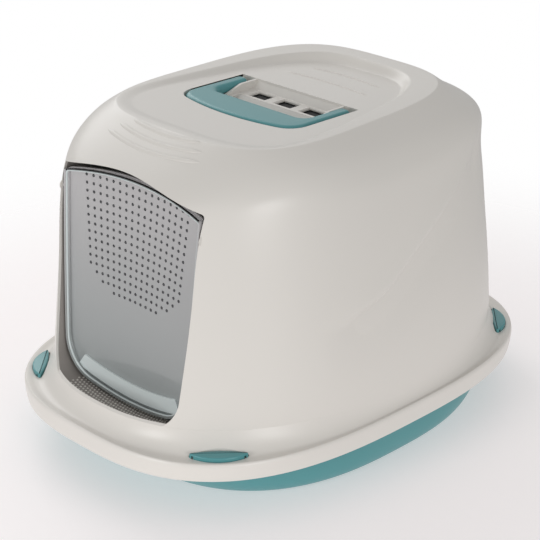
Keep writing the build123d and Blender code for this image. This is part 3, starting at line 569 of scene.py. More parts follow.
@dataclass(frozen=True)
class Dots:
    """Round raised dots set on points of a carrier mesh by Geometry Nodes.

    Attributes:
        radius: Radius of a dot, in millimetres.
        rise: Height of a dot, in millimetres.
        spread: How much the radius varies, as a share.
        seed: Seed of the variation.
        carrier: Reach of the tiny face that carries a dot, in metres.
        corners: That face's corners.
    """

    radius: float
    rise: float
    spread: float = 0.0
    seed: int = 7
    carrier: float = 1e-5
    corners: tuple = ((1, 0), (-0.5, 0.87), (-0.5, -0.87))

    def group(self) -> bpy.types.NodeTree:
        """Build the node group.

        Returns:
            The group.
        """
        made = bpy.data.node_groups.new("set_dots", "GeometryNodeTree")
        for name, kind in (
            ("Points", "Geometry"),
            ("Radius", "Float"),
            ("Rise", "Float"),
            ("Spread", "Float"),
            ("Seed", "Int"),
            ("Finish", "Material"),
        ):
            made.interface.new_socket(name, in_out="INPUT", socket_type=f"NodeSocket{kind}")
        made.interface.new_socket("Dots", in_out="OUTPUT", socket_type="NodeSocketGeometry")
        nodes, links = made.nodes, made.links
        given, result = add(nodes, "NodeGroupInput"), add(nodes, "NodeGroupOutput")
        ball = add(nodes, "GeometryNodeMeshUVSphere", {"Segments": 12, "Rings": 6, "Radius": 1.0})
        size = add(nodes, "ShaderNodeCombineXYZ")
        vary = add(nodes, "FunctionNodeRandomValue", data_type="FLOAT")
        low = add(nodes, "ShaderNodeMath", {0: 1.0}, operation="SUBTRACT")
        high = add(nodes, "ShaderNodeMath", {0: 1.0}, operation="ADD")
        normal = add(nodes, "GeometryNodeInputNormal")
        keep = add(nodes, "GeometryNodeCaptureAttribute", domain="FACE")
        keep.capture_items.new("VECTOR", "Facing")
        points = add(nodes, "GeometryNodeMeshToPoints", mode="FACES")
        align = add(nodes, "FunctionNodeAlignRotationToVector", axis="Z")
        grow = add(nodes, "ShaderNodeVectorMath", operation="SCALE")
        place = add(nodes, "GeometryNodeInstanceOnPoints")
        shade = add(nodes, "GeometryNodeSetShadeSmooth")
        real = add(nodes, "GeometryNodeRealizeInstances")
        dress = add(nodes, "GeometryNodeSetMaterial")
        wire(
            links,
            (given, "Radius", size, "X"),
            (given, "Radius", size, "Y"),
            (given, "Rise", size, "Z"),
            (given, "Spread", low, 1),
            (given, "Spread", high, 1),
            (low, 0, vary, 2),
            (high, 0, vary, 3),
            (given, "Seed", vary, "Seed"),
            (size, 0, grow, 0),
            (vary, 1, grow, "Scale"),
            (given, "Points", keep, "Geometry"),
            (normal, 0, keep, "Facing"),
            (keep, "Geometry", points, "Mesh"),
            (keep, "Facing", align, "Vector"),
            (points, "Points", place, "Points"),
            (ball, "Mesh", place, "Instance"),
            (align, 0, place, "Rotation"),
            (grow, 0, place, "Scale"),
            (place, 0, shade, "Geometry"),
            (shade, 0, real, "Geometry"),
            (real, 0, dress, "Geometry"),
            (given, "Finish", dress, "Material"),
            (dress, 0, result, "Dots"),
        )
        return made

    def place(self, name: str, spots: list, facing: list, finish: bpy.types.Material) -> bpy.types.Object:
        """Set one dot at each spot.

        Args:
            name: The object's name.
            spots: Where the dots stand, in millimetres.
            facing: The outward direction at each spot.
            finish: The dots' material.

        Returns:
            The object with all the dots.
        """
        built = bmesh.new()
        for spot, out in zip(spots, facing):
            centre, out = Vector(spot) * MM, Vector(out).normalized()
            side = out.orthogonal().normalized() * self.carrier
            other = out.cross(side).normalized() * self.carrier
            built.faces.new([built.verts.new(centre + side * c + other * s) for c, s in self.corners])
        made = to_scene(name, settle(built, name, False))
        group = self.group()
        step = made.modifiers.new("dots", "NODES")
        step.node_group = group
        values = {
            "Radius": self.radius * MM,
            "Rise": self.rise * MM,
            "Spread": self.spread,
            "Seed": self.seed,
            "Finish": finish,
        }
        for item in group.interface.items_tree:
            if item.item_type == "SOCKET" and item.in_out == "INPUT" and item.name in values:
                step[item.identifier] = values[item.name]
        bake(made)
        return made


# ------------------------------------------------------------------ shared shape


def trim(points: np.ndarray, reach: float) -> tuple[np.ndarray, np.ndarray]:
    """Where a line ends once its last stretch is dropped.

    Args:
        points: The line.
        reach: How much of its end goes.

    Returns:
        The new end point and the direction of travel there.
    """
    run = run_along(points)
    stop = run[-1] - reach
    end, before = point_at(points, run, stop), point_at(points, run, stop - 0.5)
    return end, (end - before) / np.linalg.norm(end - before)


def inner_points(points: np.ndarray, head: float, tail: float) -> np.ndarray:
    """As many points as the line has, spread between two places on it.

    Args:
        points: The line.
        head: How much of its start goes.
        tail: How much of its end goes.

    Returns:
        The points, the ends left out.
    """
    run = run_along(points)
    wanted = np.linspace(head, run[-1] - tail, len(points) + 2)[1:-1]
    return point_at(points, run, wanted)


def rounded_loop(lines: list, radii: list, steps: int = 10) -> np.ndarray:
    """Join lines end to end into a loop and round the corners between them.

    Args:
        lines: Each line's points; each ends where the next starts.
        radii: The rounding at the end of each line.
        steps: Spans in each rounding.

    Returns:
        The loop's points.
    """
    lines = [np.asarray(line, float) for line in lines]
    ends, starts = [], [None] * len(lines)
    for i, radius in enumerate(radii):
        following = lines[(i + 1) % len(lines)]
        way_in = lines[i][-1] - lines[i][-2]
        way_out = following[1] - following[0]
        share = way_in @ way_out / np.linalg.norm(way_in) / np.linalg.norm(way_out)
        turn = math.acos(float(np.clip(share, -1, 1)))
        reach = radius * math.tan(turn / 2)
        end, heading = trim(lines[i], reach)
        start, backward = trim(following[::-1], reach)
        ends.append((reach, end, heading, radius, turn))
        starts[(i + 1) % len(lines)] = (reach, start, -backward)
    loop = []
    for i, line in enumerate(lines):
        loop.extend(inner_points(line, starts[i][0], ends[i][0]))
        reach, end, heading, radius, turn = ends[i]
        _, start, leaving = starts[(i + 1) % len(lines)]
        pull = 4 / 3 * math.tan(turn / 4) * radius
        for k in range(steps + 1):
            t = k / steps
            loop.append(
                (1 - t) ** 3 * end
                + 3 * (1 - t) ** 2 * t * (end + heading * pull)
                + 3 * (1 - t) * t**2 * (start - leaving * pull)
                + t**3 * start
            )
    return np.array(loop)


def grown(loop: np.ndarray, amount: float) -> np.ndarray:
    """A loop moved outward along its own normals.

    Args:
        loop: Points of a loop.
        amount: How far it moves out; negative moves it in.

    Returns:
        The moved loop.
    """
    ahead, behind = np.roll(loop, -1, axis=0), np.roll(loop, 1, axis=0)
    way = ahead - behind
    way /= np.linalg.norm(way, axis=1)[:, None]
    area = 0.5 * float(np.sum(loop[:, 0] * ahead[:, 1] - ahead[:, 0] * loop[:, 1]))
    normals = np.stack([way[:, 1], -way[:, 0]], axis=1) * (1 if area > 0 else -1)
    return loop + normals * amount


@dataclass(frozen=True)
class Doorway:
    """The doorway's outline seen from the front, in millimetres."""

    top_half: float = 105.2
    middle_half: float = 102.4
    bottom_half: float = 95.0
    top_middle: float = 324.0
    top_corner: float = 306.0
    middle_height: float = 222.0
    bottom_corner: float = 87.0
    bottom_middle: float = 72.0
    top_rounding: float = 5.0
    bottom_rounding: float = 38.0
    back_plane: float = 168.0
    sill_depth: float = 6.5

    def loop(self, outset: float = 0.0, lowering: float = 0.0) -> np.ndarray:
        """The outline, made larger all round and lower at the sill.

        Args:
            outset: How much larger.
            lowering: How much lower the sill is.

        Returns:
            X and Z of the loop's points.
        """
        top, middle, bottom = (half + outset for half in (self.top_half, self.middle_half, self.bottom_half))
        top_z, crown = self.top_corner + outset, self.top_middle + outset
        low_z, floor = self.bottom_corner - outset - lowering, self.bottom_middle - outset - lowering
        corner = self.bottom_rounding + outset
        return rounded_loop(
            [
                arc_through(start, way, end, 41)
                for start, way, end in (
                    ((-top, top_z), (0, crown), (top, top_z)),
                    ((top, top_z), (middle, self.middle_height), (bottom, low_z)),
                    ((bottom, low_z), (0, floor), (-bottom, low_z)),
                    ((-bottom, low_z), (-middle, self.middle_height), (-top, top_z)),
                )
            ],
            [self.top_rounding + outset, corner, corner, self.top_rounding + outset],
        )


@dataclass(frozen=True)
class HoodForm:
    """The hood's domed body, in millimetres.

    Attributes:
        wall: Wall thickness.
        fullness: Squareness of its ovals.
    """

    wall: float = 2.6
    fullness: float = 2.3
    base: tuple[float, float, float] = (196.2, 259.5, 267.8)
    shoulder: tuple[float, float, float] = (167.0, 210.5, 234.0)
    crest: tuple[float, float, float] = (131.0, 152.7, 172.7)
    crest_shape: tuple[float, float] = (3.45, 0.04)
    crest_height: float = 356.4
    crest_tilt: float = 0.8
    plate: tuple[float, float, float] = (103.5, 133.0, 140.0)
    plate_height: float = 351.1
    plate_tilt: float = -0.85
    recess_shape: tuple[float, float] = (3.6, 0.2)
    slope_run: float = 12.0
    far_growth: float = 60.0

    def table(self) -> np.ndarray:
        """Height, half width, front, back, fullness, taper and tilt of each main ring.

        Returns:
            One row per ring.
        """
        b, s, c, n = self.base, self.shoulder, self.crest, self.fullness
        rows = [
            (58.4, b[0], b[1], b[2], n, 0, 0),
            (110.0, b[0] - 2.4, b[1] - 5.0, b[2] - 2.4, n, 0, 0),
            (165.0, b[0] - 6.9, b[1] - 10.6, b[2] - 6.4, n, 0, 0),
            (220.0, b[0] - 12.4, b[1] - 14.3, b[2] - 12.3, n, 0, 0),
            (262.0, s[0] + 12.8, s[1] + 32.7, s[2] + 16.8, n, 0, 0),
            (292.0, s[0] + 9.2, s[1] + 26.7, s[2] + 12.5, 2.34, 0, 0),
            (309.0, s[0] + 6.1, s[1] + 16.9, s[2] + 9.8, 2.46, 0, 0),
            (322.0, s[0], s[1], s[2], 2.72, 0.01, 0),
            (332.0, s[0] - 6.5, s[1] - 15.7, s[2] - 15.0, 2.9, 0.02, 0),
            (344.0, s[0] - 18.5, s[1] - 37.0, s[2] - 39.0, 3.15, 0.03, 0),
            (self.crest_height, *c, *self.crest_shape, math.tan(math.radians(self.crest_tilt))),
        ]
        return np.array(rows, float)

    def curve(self) -> tuple[Curve, float]:
        """The smooth run of the rings.

        Returns:
            The curve and its length.
        """
        rows = self.table()
        places = run_along(rows[:, :3] * [1, 0.6, 0.6])
        return smooth_curve(places, rows), float(places[-1])

    def plate_level(self, depth: np.ndarray) -> np.ndarray:
        """Height of the sunken plate."""
        return self.plate_height + math.tan(math.radians(self.plate_tilt)) * depth

    def on_plate(self) -> Matrix:
        """Where things drawn on the plate go."""
        tilt = Matrix.Rotation(math.radians(self.plate_tilt), 4, "X")
        return Matrix.Translation((0, 0, self.plate_height * MM)) @ tilt

    def front_at(self, x: np.ndarray, z: np.ndarray, inset: float = 0.0) -> np.ndarray:
        """How far ahead the front wall stands.

        Args:
            x: Across.
            z: Height.
            inset: How far inside the outer skin.

        Returns:
            The depth ahead of the middle.
        """
        curve, length = self.curve()
        fine = curve(np.linspace(0, length, 1200))
        half, front, fullness = (np.interp(z, fine[:, 0], fine[:, k]) for k in (1, 2, 4))
        share = np.clip(1 - np.abs(x / (half - inset)) ** fullness, 0.0, 1.0)
        return (front - inset) * share ** (1 / fullness)

    def roof_at(self, x: np.ndarray, y: np.ndarray) -> np.ndarray:
        """Height of the domed skin over a point of the brow.

        Args:
            x: Across.
            y: Depth.

        Returns:
            Z of the skin.
        """
        curve, length = self.curve()

        def inside(at: np.ndarray) -> np.ndarray:
            """Which points lie inside the rings at the places."""
            return within(x, y, curve(at)[:, 1:6].T)

        size = curve(bisect(inside, np.zeros_like(x), np.full_like(x, length), 40))
        return size[:, 0] + size[:, 6] * y

    def recess_ring(self, outline: Outline, growth: float) -> np.ndarray:
        """A ring of the roof's dish.

        Args:
            outline: The turning steps.
            growth: How far outside the dish's floor it lies; 0 at the floor's edge, slope_run at the mouth.

        Returns:
            The ring.
        """
        ring = outline.ring((*(v + growth for v in self.plate), *self.recess_shape), 0.0)
        ring[:, 2] = self.recess_level(ring[:, 1], growth)
        return ring

    def recess_level(self, depth: np.ndarray, growth: np.ndarray) -> np.ndarray:
        """Height of the dish.

        Args:
            depth: Y of each point.
            growth: How far outside the dish's floor each point lies.

        Returns:
            Z of each point.
        """
        floor = self.plate_level(depth)
        mouth = self.crest_height + math.tan(math.radians(self.crest_tilt)) * depth
        return floor + (mouth - floor) * smoothstep(growth / self.slope_run)

    def recess_at(self, x: np.ndarray, y: np.ndarray) -> np.ndarray:
        """Height of the dish, or of the crest around it, over a point.

        Args:
            x: Across.
            y: Depth.

        Returns:
            Z of each point.
        """
        def outside(growth: np.ndarray) -> np.ndarray:
            """Which points lie outside the dish grown so far."""
            return ~within(x, y, (*(v + growth for v in self.plate), *self.recess_shape))

        growth = bisect(outside, np.full_like(x, 1 - self.plate[0]), np.full_like(x, self.far_growth), 30)
        return self.recess_level(y, growth)


def within(x: np.ndarray, y: np.ndarray, size: tuple) -> np.ndarray:
    """Which points lie inside an oval.

    Args:
        x: Across.
        y: Depth.
        size: The oval's half width, front reach, back reach, fullness and taper.

    Returns:
        True for each point inside.
    """
    half_width, front, back, fullness, taper = size
    along = y / np.where(y > 0, back, front)
    across = x / (half_width * (1 - taper * along))
    return np.abs(across) ** fullness + np.abs(along) ** fullness < 1


def bisect(test: Curve, low: np.ndarray, high: np.ndarray, rounds: int) -> np.ndarray:
    """Close in on the last places that pass a test.

    Args:
        test: Says which places pass.
        low: Places that pass.
        high: Places that don't.
        rounds: How often the gap is halved.

    Returns:
        The last places that pass.
    """
    for _ in range(rounds):
        middle = (low + high) / 2
        passed = test(middle)
        low, high = np.where(passed, middle, low), np.where(passed, high, middle)
    return low


def smoothstep(value: np.ndarray) -> np.ndarray:
    """A soft ramp from 0 to 1."""
    value = np.clip(value, 0.0, 1.0)
    return value * value * (3 - 2 * value)


@dataclass(frozen=True)
class Bow:
    """The handle's bow and the bed it folds into, seen from above, in millimetres."""

    half_width: float = 84.0
    front: float = 72.0
    front_corner: float = 58.0
    rounding: float = 24.0
    band: float = 45.0
    arm: float = 16.0
    inner_rounding: float = 14.0

    def bed(self, grow: float, tail: float) -> np.ndarray:
        """The bow's outer outline closed across the back.

        Args:
            grow: How much larger than the bow.
            tail: Y of the back edge.

        Returns:
            The loop's points.
        """
        side = self.half_width + grow
        corner, front = -self.front_corner - grow, -self.front - grow
        return rounded_loop(
            [
                arc_through((-side, corner), (0, front), (side, corner), 41),
                *straights([(side, corner), (side, tail), (-side, tail), (-side, corner)], (12, 24, 12)),
            ],
            [self.rounding + grow, 0.4, 0.4, self.rounding + grow],
        )

    def ring(self, inset: float, tail: float) -> np.ndarray:
        """The bow itself, open at the back.

        Args:
            inset: How far inside its own edge.
            tail: Y of the arms' ends.

        Returns:
            The loop's points.
        """
        side, inner = self.half_width - inset, self.half_width - self.arm + inset
        corner, front = -self.front_corner + inset, -self.front + inset
        grip, end = self.band - self.front - inset, tail - inset
        right = [(side, corner), (side, end), (inner, end), (inner, grip)]
        left = [(-x, y) for x, y in reversed(right)]
        return rounded_loop(
            [
                arc_through((-side, corner), (0, front), (side, corner), 49),
                *straights(right + left, (14, 6, 10, 24, 10, 6, 14)),
            ],
            [self.rounding - inset, 2.0, 2.0, *[self.inner_rounding] * 2, 2.0, 2.0, self.rounding - inset],
        )


# ------------------------------------------------------------------ assemblies


@dataclass(kw_only=True)
class Part:
    """A sub-assembly that builds its pieces and gives them to a moving body.

    Attributes:
        finish: Its main plastic.
        body: The body it rides on.
        pieces: What it has built.
    """

    finish: bpy.types.Material
    body: str = ""
    pieces: list[bpy.types.Object] = field(default_factory=list)

    def keep(self, piece: bpy.types.Object, finish: bpy.types.Material, slot: str) -> bpy.types.Object:
        """Dress a piece and take it into the sub-assembly.

        Args:
            piece: The piece.
            finish: Its material.
            slot: A material slot's name; not used.

        Returns:
            The piece.
        """
        paint(piece, finish)
        self.pieces.append(piece)
        return piece

    def attach(self, node: str) -> None:
        """Let the pieces ride on their body and stand for a CAD node.

        Args:
            node: The node.
        """
        for piece in self.pieces:
            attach(piece, self.body)
            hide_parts(node)


@dataclass(kw_only=True)
class Hood(Part):
    """The domed hood with its skirt, doorway, roof pocket and vents.

    Attributes:
        shade: Darker plastic of the doorway's passage and sill: painted shade of the recess, not a colour of
            its own.
        form: The dome.
        door: The doorway.
        bow: The handle's bow.
        outline: The turning steps of its ovals.
        shelf_drop: How far the handle's bed lies below the plate.
        well_drop: How far the finger well lies below the plate.
        bed_play: Room around the bow in its bed.
        bed_tail: Y of the bed's back edge.
        vent_middles: X of each vent's middle.
        vent_half: Half the width and depth of a vent.
        vent_depth: Y of the vents' middle.
        sill_pitch: Spacing of the sill's dots.
        sweep: Y and Z along the edge of the flanks' crescent.
        sweep_depth: How deep the crescent is pressed in.
        sweep_rise: How far the flank swells below it.
        well_half: Half the finger well's width.
        foot_rows: Height, half width, front and back reach of the foot.
        skirt: Height, half width, reach and fullness down the skirt and back up inside.
        brow_ribs: Half length, Y of the ends and Y of the middle of each rib on the brow.
        plate_ribs: The same of each rib behind the plate.
    """

    shade: bpy.types.Material
    body: str = "hood"
    form: HoodForm = HoodForm()
    door: Doorway = Doorway()
    bow: Bow = Bow()
    outline: Outline = field(default_factory=lambda: Outline(384))
    shelf_drop: float = 9.6
    well_drop: float = 27.0
    bed_play: float = 1.6
    bed_tail: float = 36.0
    vent_middles: tuple = (-38.0, 0.0, 38.0)
    vent_half: tuple = (12.0, 8.0)
    vent_depth: float = 17.5
    sill_pitch: float = 4.2
    sweep: tuple = ((-110, 170), (-68, 184), (-26, 198), (21, 227), (76, 258), (124, 286), (163, 310))
    sweep_depth: float = 3.6
    sweep_rise: float = 1.6
    well_half: float = 58.0
    foot_rows: tuple = ((59.0, 193.2, 256.2, 264.6), (88.0, 192.2, 254.6, 264.0))
    skirt: tuple = (
        (54.0, 205.6, 278.9, 2.84),
        (49.0, 205.7, 279.1, 2.8),
        (46.6, 205.8, 279.3, 2.76),
        (46.0, 205.7, 279.2, 2.76),
        (45.6, 205.2, 278.7, 2.76),
        (45.5, 204.4, 277.9, 2.76),
        (45.5, 203.0, 276.4, 2.76),
        (62.4, 202.6, 275.4, 2.84),
        (61.6, 199.6, 270.6, 2.7),
        (59.0, 195.4, 258.8, 2.4),
    )
    brow_ribs: tuple = ((69.0, -171.0, -181.7), (61.5, -161.1, -170.0), (49.5, -152.9, -157.9))
    plate_ribs: tuple = ((60.0, 78.0, 82.0), (50.0, 108.0, 113.0))

    def shell_rings(self) -> np.ndarray:
        """Rings of the shell from the inner roof down, out and up to the plate.

        Returns:
            The rings.
        """
        form, outline = self.form, self.outline
        curve, length = form.curve()
        slope = math.tan(math.radians(form.crest_tilt))
        rings = []
        for share in np.linspace(0.05, 0.97, 20):
            size = (*((v - form.wall) * share for v in form.crest), *form.crest_shape)
            ring = outline.ring(size, 0.0)
            ring[:, 2] = form.recess_at(ring[:, 0], ring[:, 1]) - form.wall
            rings.append(ring)
        for place in np.linspace(length, 0.0, 22):
            level, half, front, back, fullness, taper, tilt = curve(np.array([place]))[0]
            share = max(0.0, (level - 220.0) / (form.crest_height - 220.0))
            size = (half - form.wall, front - form.wall, back - form.wall, fullness, taper)
            rings.append(outline.ring(size, level - form.wall * share, tilt))
        for place in np.linspace(0.0, length, 112)[:-1]:
            level, half, front, back, fullness, taper, tilt = curve(np.array([place]))[0]
            rings.append(self.swept(outline.ring((half, front, back, fullness, taper), level, tilt)))
        for inset, drop in ((0.1, 0.35), (0.6, 0.1), (1.5, 0.0)):
            size = (*(v - inset for v in form.crest), *form.crest_shape)
            rings.append(outline.ring(size, form.crest_height - drop, slope))
        for growth in np.linspace(form.slope_run + 0.6, -0.6, 15):
            rings.append(form.recess_ring(outline, float(growth)))
        for share in np.linspace(0.97, 0.04, 16):
            ring = outline.ring((*(v * share for v in form.plate), *form.recess_shape), 0.0)
            ring[:, 2] = form.plate_level(ring[:, 1])
            rings.append(ring)
        return np.array(rings)

    def swept(self, ring: np.ndarray) -> np.ndarray:
        """Press the soft crescent that sweeps down each flank into a ring.

        Args:
            ring: The ring.

        Returns:
            The ring with the crescent.
        """
        run = np.array(self.sweep, float)
        edge = smooth_curve(run[:, 0], run[:, 1:])
        y, z = ring[:, 1], ring[:, 2]
        below = edge(y)[:, 0] - z
        fade = smoothstep((y + 110) / 60) * smoothstep((172 - y) / 30) * (np.abs(ring[:, 0]) > 95)
        step = smoothstep((below + 5) / 11)
        pressed = self.sweep_depth * step * (1 - smoothstep((below - 6) / 70))
        raised = self.sweep_rise * smoothstep((below + 34) / 29) * (1 - step)
        depth = (pressed - raised) * fade
        ring = ring.copy()
        ring[:, 0] -= np.sign(ring[:, 0]) * depth
        return ring

    def build_shell(self) -> None:
        """The dome, the crest and the plate, with the doorway and the bed cut out."""
        shell = to_object(strip_mesh(self.shell_rings(), False, True, True), "hood_shell")
        cut(shell, prism_mesh(list(self.door.loop()), -290.0, -150.0, "Y"))
        bed = self.bow.bed(self.bed_play, self.bed_tail)
        cut(shell, prism_mesh(list(bed), 336.0, 372.0))
        smooth(shell.data)
        self.keep(shell, self.finish, "hood")

    def build_collar(self) -> None:
        """The passage behind the doorway."""
        door, form = self.door, self.form
        inner = door.loop(0.0, door.sill_depth)
        outer = grown(inner, form.wall)
        rings = []
        for loop, at_front in ((inner, True), (inner, False), (outer, False), (outer, True)):
            ahead = np.full(len(loop), door.back_plane)
            if at_front:
                ahead = np.maximum(form.front_at(loop[:, 0], loop[:, 1], form.wall) + 0.1, ahead)
            rings.append(np.column_stack([loop[:, 0], -ahead, loop[:, 1]]))
        collar = to_object(strip_mesh(np.array(rings), True, False, False), "door_collar", SMOOTH_BELOW)
        # The passage and sill get the darker collar plastic: painted shade of the doorway's recess.
        self.keep(collar, self.shade, "hood")
        bosses = both_sides(circle(*FLAP_HINGE, 6, 32), 105.0, 105.9)
        self.keep(join("hinge_bosses", bosses), self.finish, "hood")

    def build_pocket(self) -> None:
        """The bed of the handle, the finger well, the vents and the filter's frame."""
        form = self.form
        bed = self.bow.bed(self.bed_play, self.bed_tail)
        tub = to_object(prism_mesh(list(grown(bed, form.wall)), -12.2, -0.12), "roof_pocket")
        cut(tub, prism_mesh(list(bed), -self.shelf_drop, 8.0))
        tub.data.transform(form.on_plate())
        shelf = form.plate_height - self.shelf_drop
        floor = form.plate_height - self.well_drop
        front, back, below = -66.0, 4.0, floor - form.wall
        outer = [
            (front - form.wall, shelf - 1.2),
            (front + 0.4, below),
            (-19.4, below),
            (back + form.wall, shelf - form.wall),
            (back + form.wall, shelf - 1.2),
        ]
        outer_half = self.well_half + form.wall
        cut(tub, prism_mesh(outer, -outer_half, outer_half, "X"), "UNION")
        brim = shelf + 5.2
        well_floor = rounded_loop(
            straights(
                [
                    (front, brim),
                    (front + 3.0, floor),
                    (-22.0, floor),
                    (back, shelf - 0.2),
                    (back, brim),
                    (front, brim),
                ],
                (6, 10, 8, 3, 8),
            ),
            [6.0, 6.0, 0.05, 0.05, 0.05],
        )
        cut(tub, prism_mesh(list(well_floor), -self.well_half, self.well_half, "X"))
        cut(tub, self.vent_cutters(shelf))
        smooth(tub.data)
        self.keep(tub, self.finish, "hood")
        top = form.plate_height - 1.3
        ramp = [(-20.0, shelf - 1.3), (12.0, top), (37.3, top), (37.3, shelf - 1.3)]
        self.keep(join("pocket_cheeks", both_sides(ramp, 63.4, 66.4)), self.finish, "hood")
        slope = [
            (27.0, shelf - 0.4),
            (29.0, shelf - 0.2),
            (37.5, form.plate_height - 1.7),
            (37.5, shelf - 1.0),
            (27.0, shelf - 1.0),
        ]
        self.keep(to_object(prism_mesh(slope, -63.5, 63.5, "X"), "pocket_ramp"), self.finish, "hood")
        fence = to_object(prism_mesh(box_loop(60.3, 4.2, 38.8), 330.8, 340.2), "filter_frame")
        cut(fence, prism_mesh(box_loop(58.5, 6.0, 37.0), 320.0, 350.0))
        self.keep(fence, self.finish, "hood")

    def vent_cutters(self, shelf: float) -> bpy.types.Mesh:
        """Cutters for the vents, flared at the top.

        Args:
            shelf: Height of the shelf the vents open in.

        Returns:
            One mesh with all the cutters.
        """
        half_x, half_y = self.vent_half
        vents = []
        for middle in self.vent_middles:
            loops = []
            for flare, level in ((0.0, shelf - 9), (0.0, shelf - 1.5), (1.5, shelf), (1.5, shelf + 6)):
                loop = box_loop(half_x + flare, -half_y - flare, half_y + flare)
                loops.append((np.add(loop, (middle, self.vent_depth)), level))
            vents.append(stack_mesh(loops))
        return merged("vents", vents)

    def build_flange(self) -> None:
        """The foot, the gutter and the skirt."""
        foot = self.form.fullness
        rows = [(*row, foot) for row in self.foot_rows]
        for share in np.linspace(0, 1, 12):
            turn = share * math.pi / 2
            out, level = 6.0 * (1 - math.cos(turn)), 86.0 - 21.6 * math.sin(turn)
            rows.append((level, 194.9 + 0.9 * out, 257.2 + 2.0 * out, 266.4 + 0.6 * out, foot + 0.35 * share))
        rows.append((64.8, 202.2, 273.2, 273.4, 2.8))
        for share in np.linspace(0, 1, 9):
            turn = share * math.pi / 2
            out, drop = 2.4 * math.sin(turn), 5.2 * (1 - math.cos(turn))
            rows.append((65.8 - drop, 203.0 + out, 276.2 + out, 276.2 + out, 2.9 - 0.02 * share))
        for level, side, nose, fullness in self.skirt:
            rows.append((level, side, nose, nose, fullness))
        rings = np.array([self.outline.ring(row[1:], row[0]) for row in rows])
        flange = to_object(strip_mesh(rings, True, False, False), "hood_flange", RIM_SMOOTH_BELOW)
        pit = Latch.lens(-0.8)
        pit[pit[:, 1] < 0, 1] *= 1.09
        slots = []
        for corner in Latch.corners():
            for outline, low, high in ((box_loop(13.4, -5.0, 0.0), 55.0, 63.4), (list(pit), 63.2, 72.0)):
                slots.append(prism_mesh(outline, low, high))
                slots[-1].transform(corner)
        cut(flange, merged("slots", slots))
        smooth(flange.data, RIM_SMOOTH_BELOW)
        self.keep(flange, self.finish, "hood")
        ears = []
        for corner in Latch.corners():
            for side in (-1, 1):
                arch = [(-5.4, 60.5)] + [
                    (-3.4 - 2.0 * math.cos(a), 63.6 + 2.0 * math.sin(a)) for a in np.linspace(0, math.pi, 13)
                ] + [(-1.4, 60.5)]
                ear = prism_mesh(arch, side * 13.4, side * 15.4, "X")
                ear.transform(corner)
                ears.append(ear)
        self.keep(join("latch_ears", ears), self.finish, "hood")

    def build_ribs(self) -> None:
        """Slim raised ribs on the brow and at the back of the plate."""
        ribs = []
        for places, width, rise, surface in (
            (self.brow_ribs, 4.2, 1.5, self.form.roof_at),
            (self.plate_ribs, 2.8, 1.1, self.form.recess_at),
        ):
            ribs += [self.rib(*place, width, rise, surface) for place in places]
        self.keep(join("roof_ribs", ribs), self.finish, "hood")

    @staticmethod
    def rib(
        half: float, ends: float, middle: float, width: float, rise: float, surface: Surface
    ) -> bpy.types.Mesh:
        """One bowed rib that follows a surface.

        Args:
            half: Half its length.
            ends: Y of its ends.
            middle: Y of its middle.
            width: Its width.
            rise: Its height.
            surface: Gives the surface's height.

        Returns:
            The mesh.
        """
        spine = np.array(arc_through((-half, ends), (0, middle), (half, ends), 73))
        way = np.gradient(spine, axis=0)
        way /= np.linalg.norm(way, axis=1)[:, None]
        normals = np.stack([-way[:, 1], way[:, 0]], axis=1)
        steps = np.arange(len(spine))
        taper = np.sqrt(np.clip(np.minimum(steps, steps[::-1]) / 6.0, 0.02, 1.0))
        built = bmesh.new()
        rows = []
        for across in np.linspace(-1, 1, 11):
            spots = spine + normals * (across * width / 2 * taper)[:, None]
            crown = rise * taper * math.sqrt(max(0.0, 1 - across**2))
            height = surface(spots[:, 0], spots[:, 1]) + crown - 0.12
            rows.append([built.verts.new(Vector((x, y, z)) * MM) for (x, y), z in zip(spots, height)])
        for low, high in zip(rows, rows[1:]):
            for j in steps[:-1]:
                built.faces.new((low[j], low[j + 1], high[j + 1], high[j]))
        built.normal_update()
        if sum(f.normal.z for f in built.faces) < 0:
            bmesh.ops.reverse_faces(built, faces=built.faces)
        return settle(built, "rib", False)

    def build_sill_dots(self) -> None:
        """Small staggered dots on the sill ahead of the flap."""
        spots = []
        loop = self.door.loop(0.0, self.door.sill_depth)
        low = loop[loop[:, 1] < 110]
        low = low[np.argsort(low[:, 0])]
        for row, y in enumerate(np.arange(-245.0, -171.0, self.sill_pitch)):
            for x in np.arange(-74 + self.sill_pitch / 2 * (row % 2), 75, self.sill_pitch):
                level = float(np.interp(x, low[:, 0], low[:, 1]))
                if -y < float(self.form.front_at(np.array([x]), np.array([level]), self.form.wall)[0]) - 3:
                    spots.append((x, y, level))
        dots = Dots(radius=1.25, rise=0.8).place("sill_dots", spots, [(0, 0, 1)] * len(spots), self.finish)
        self.keep(dots, self.finish, "hood")

    def build(self) -> None:
        """Build every piece of the hood."""
        self.build_shell()
        self.build_collar()
        self.build_pocket()
        self.build_flange()
        self.build_ribs()
        self.build_sill_dots()
        self.attach("hood")


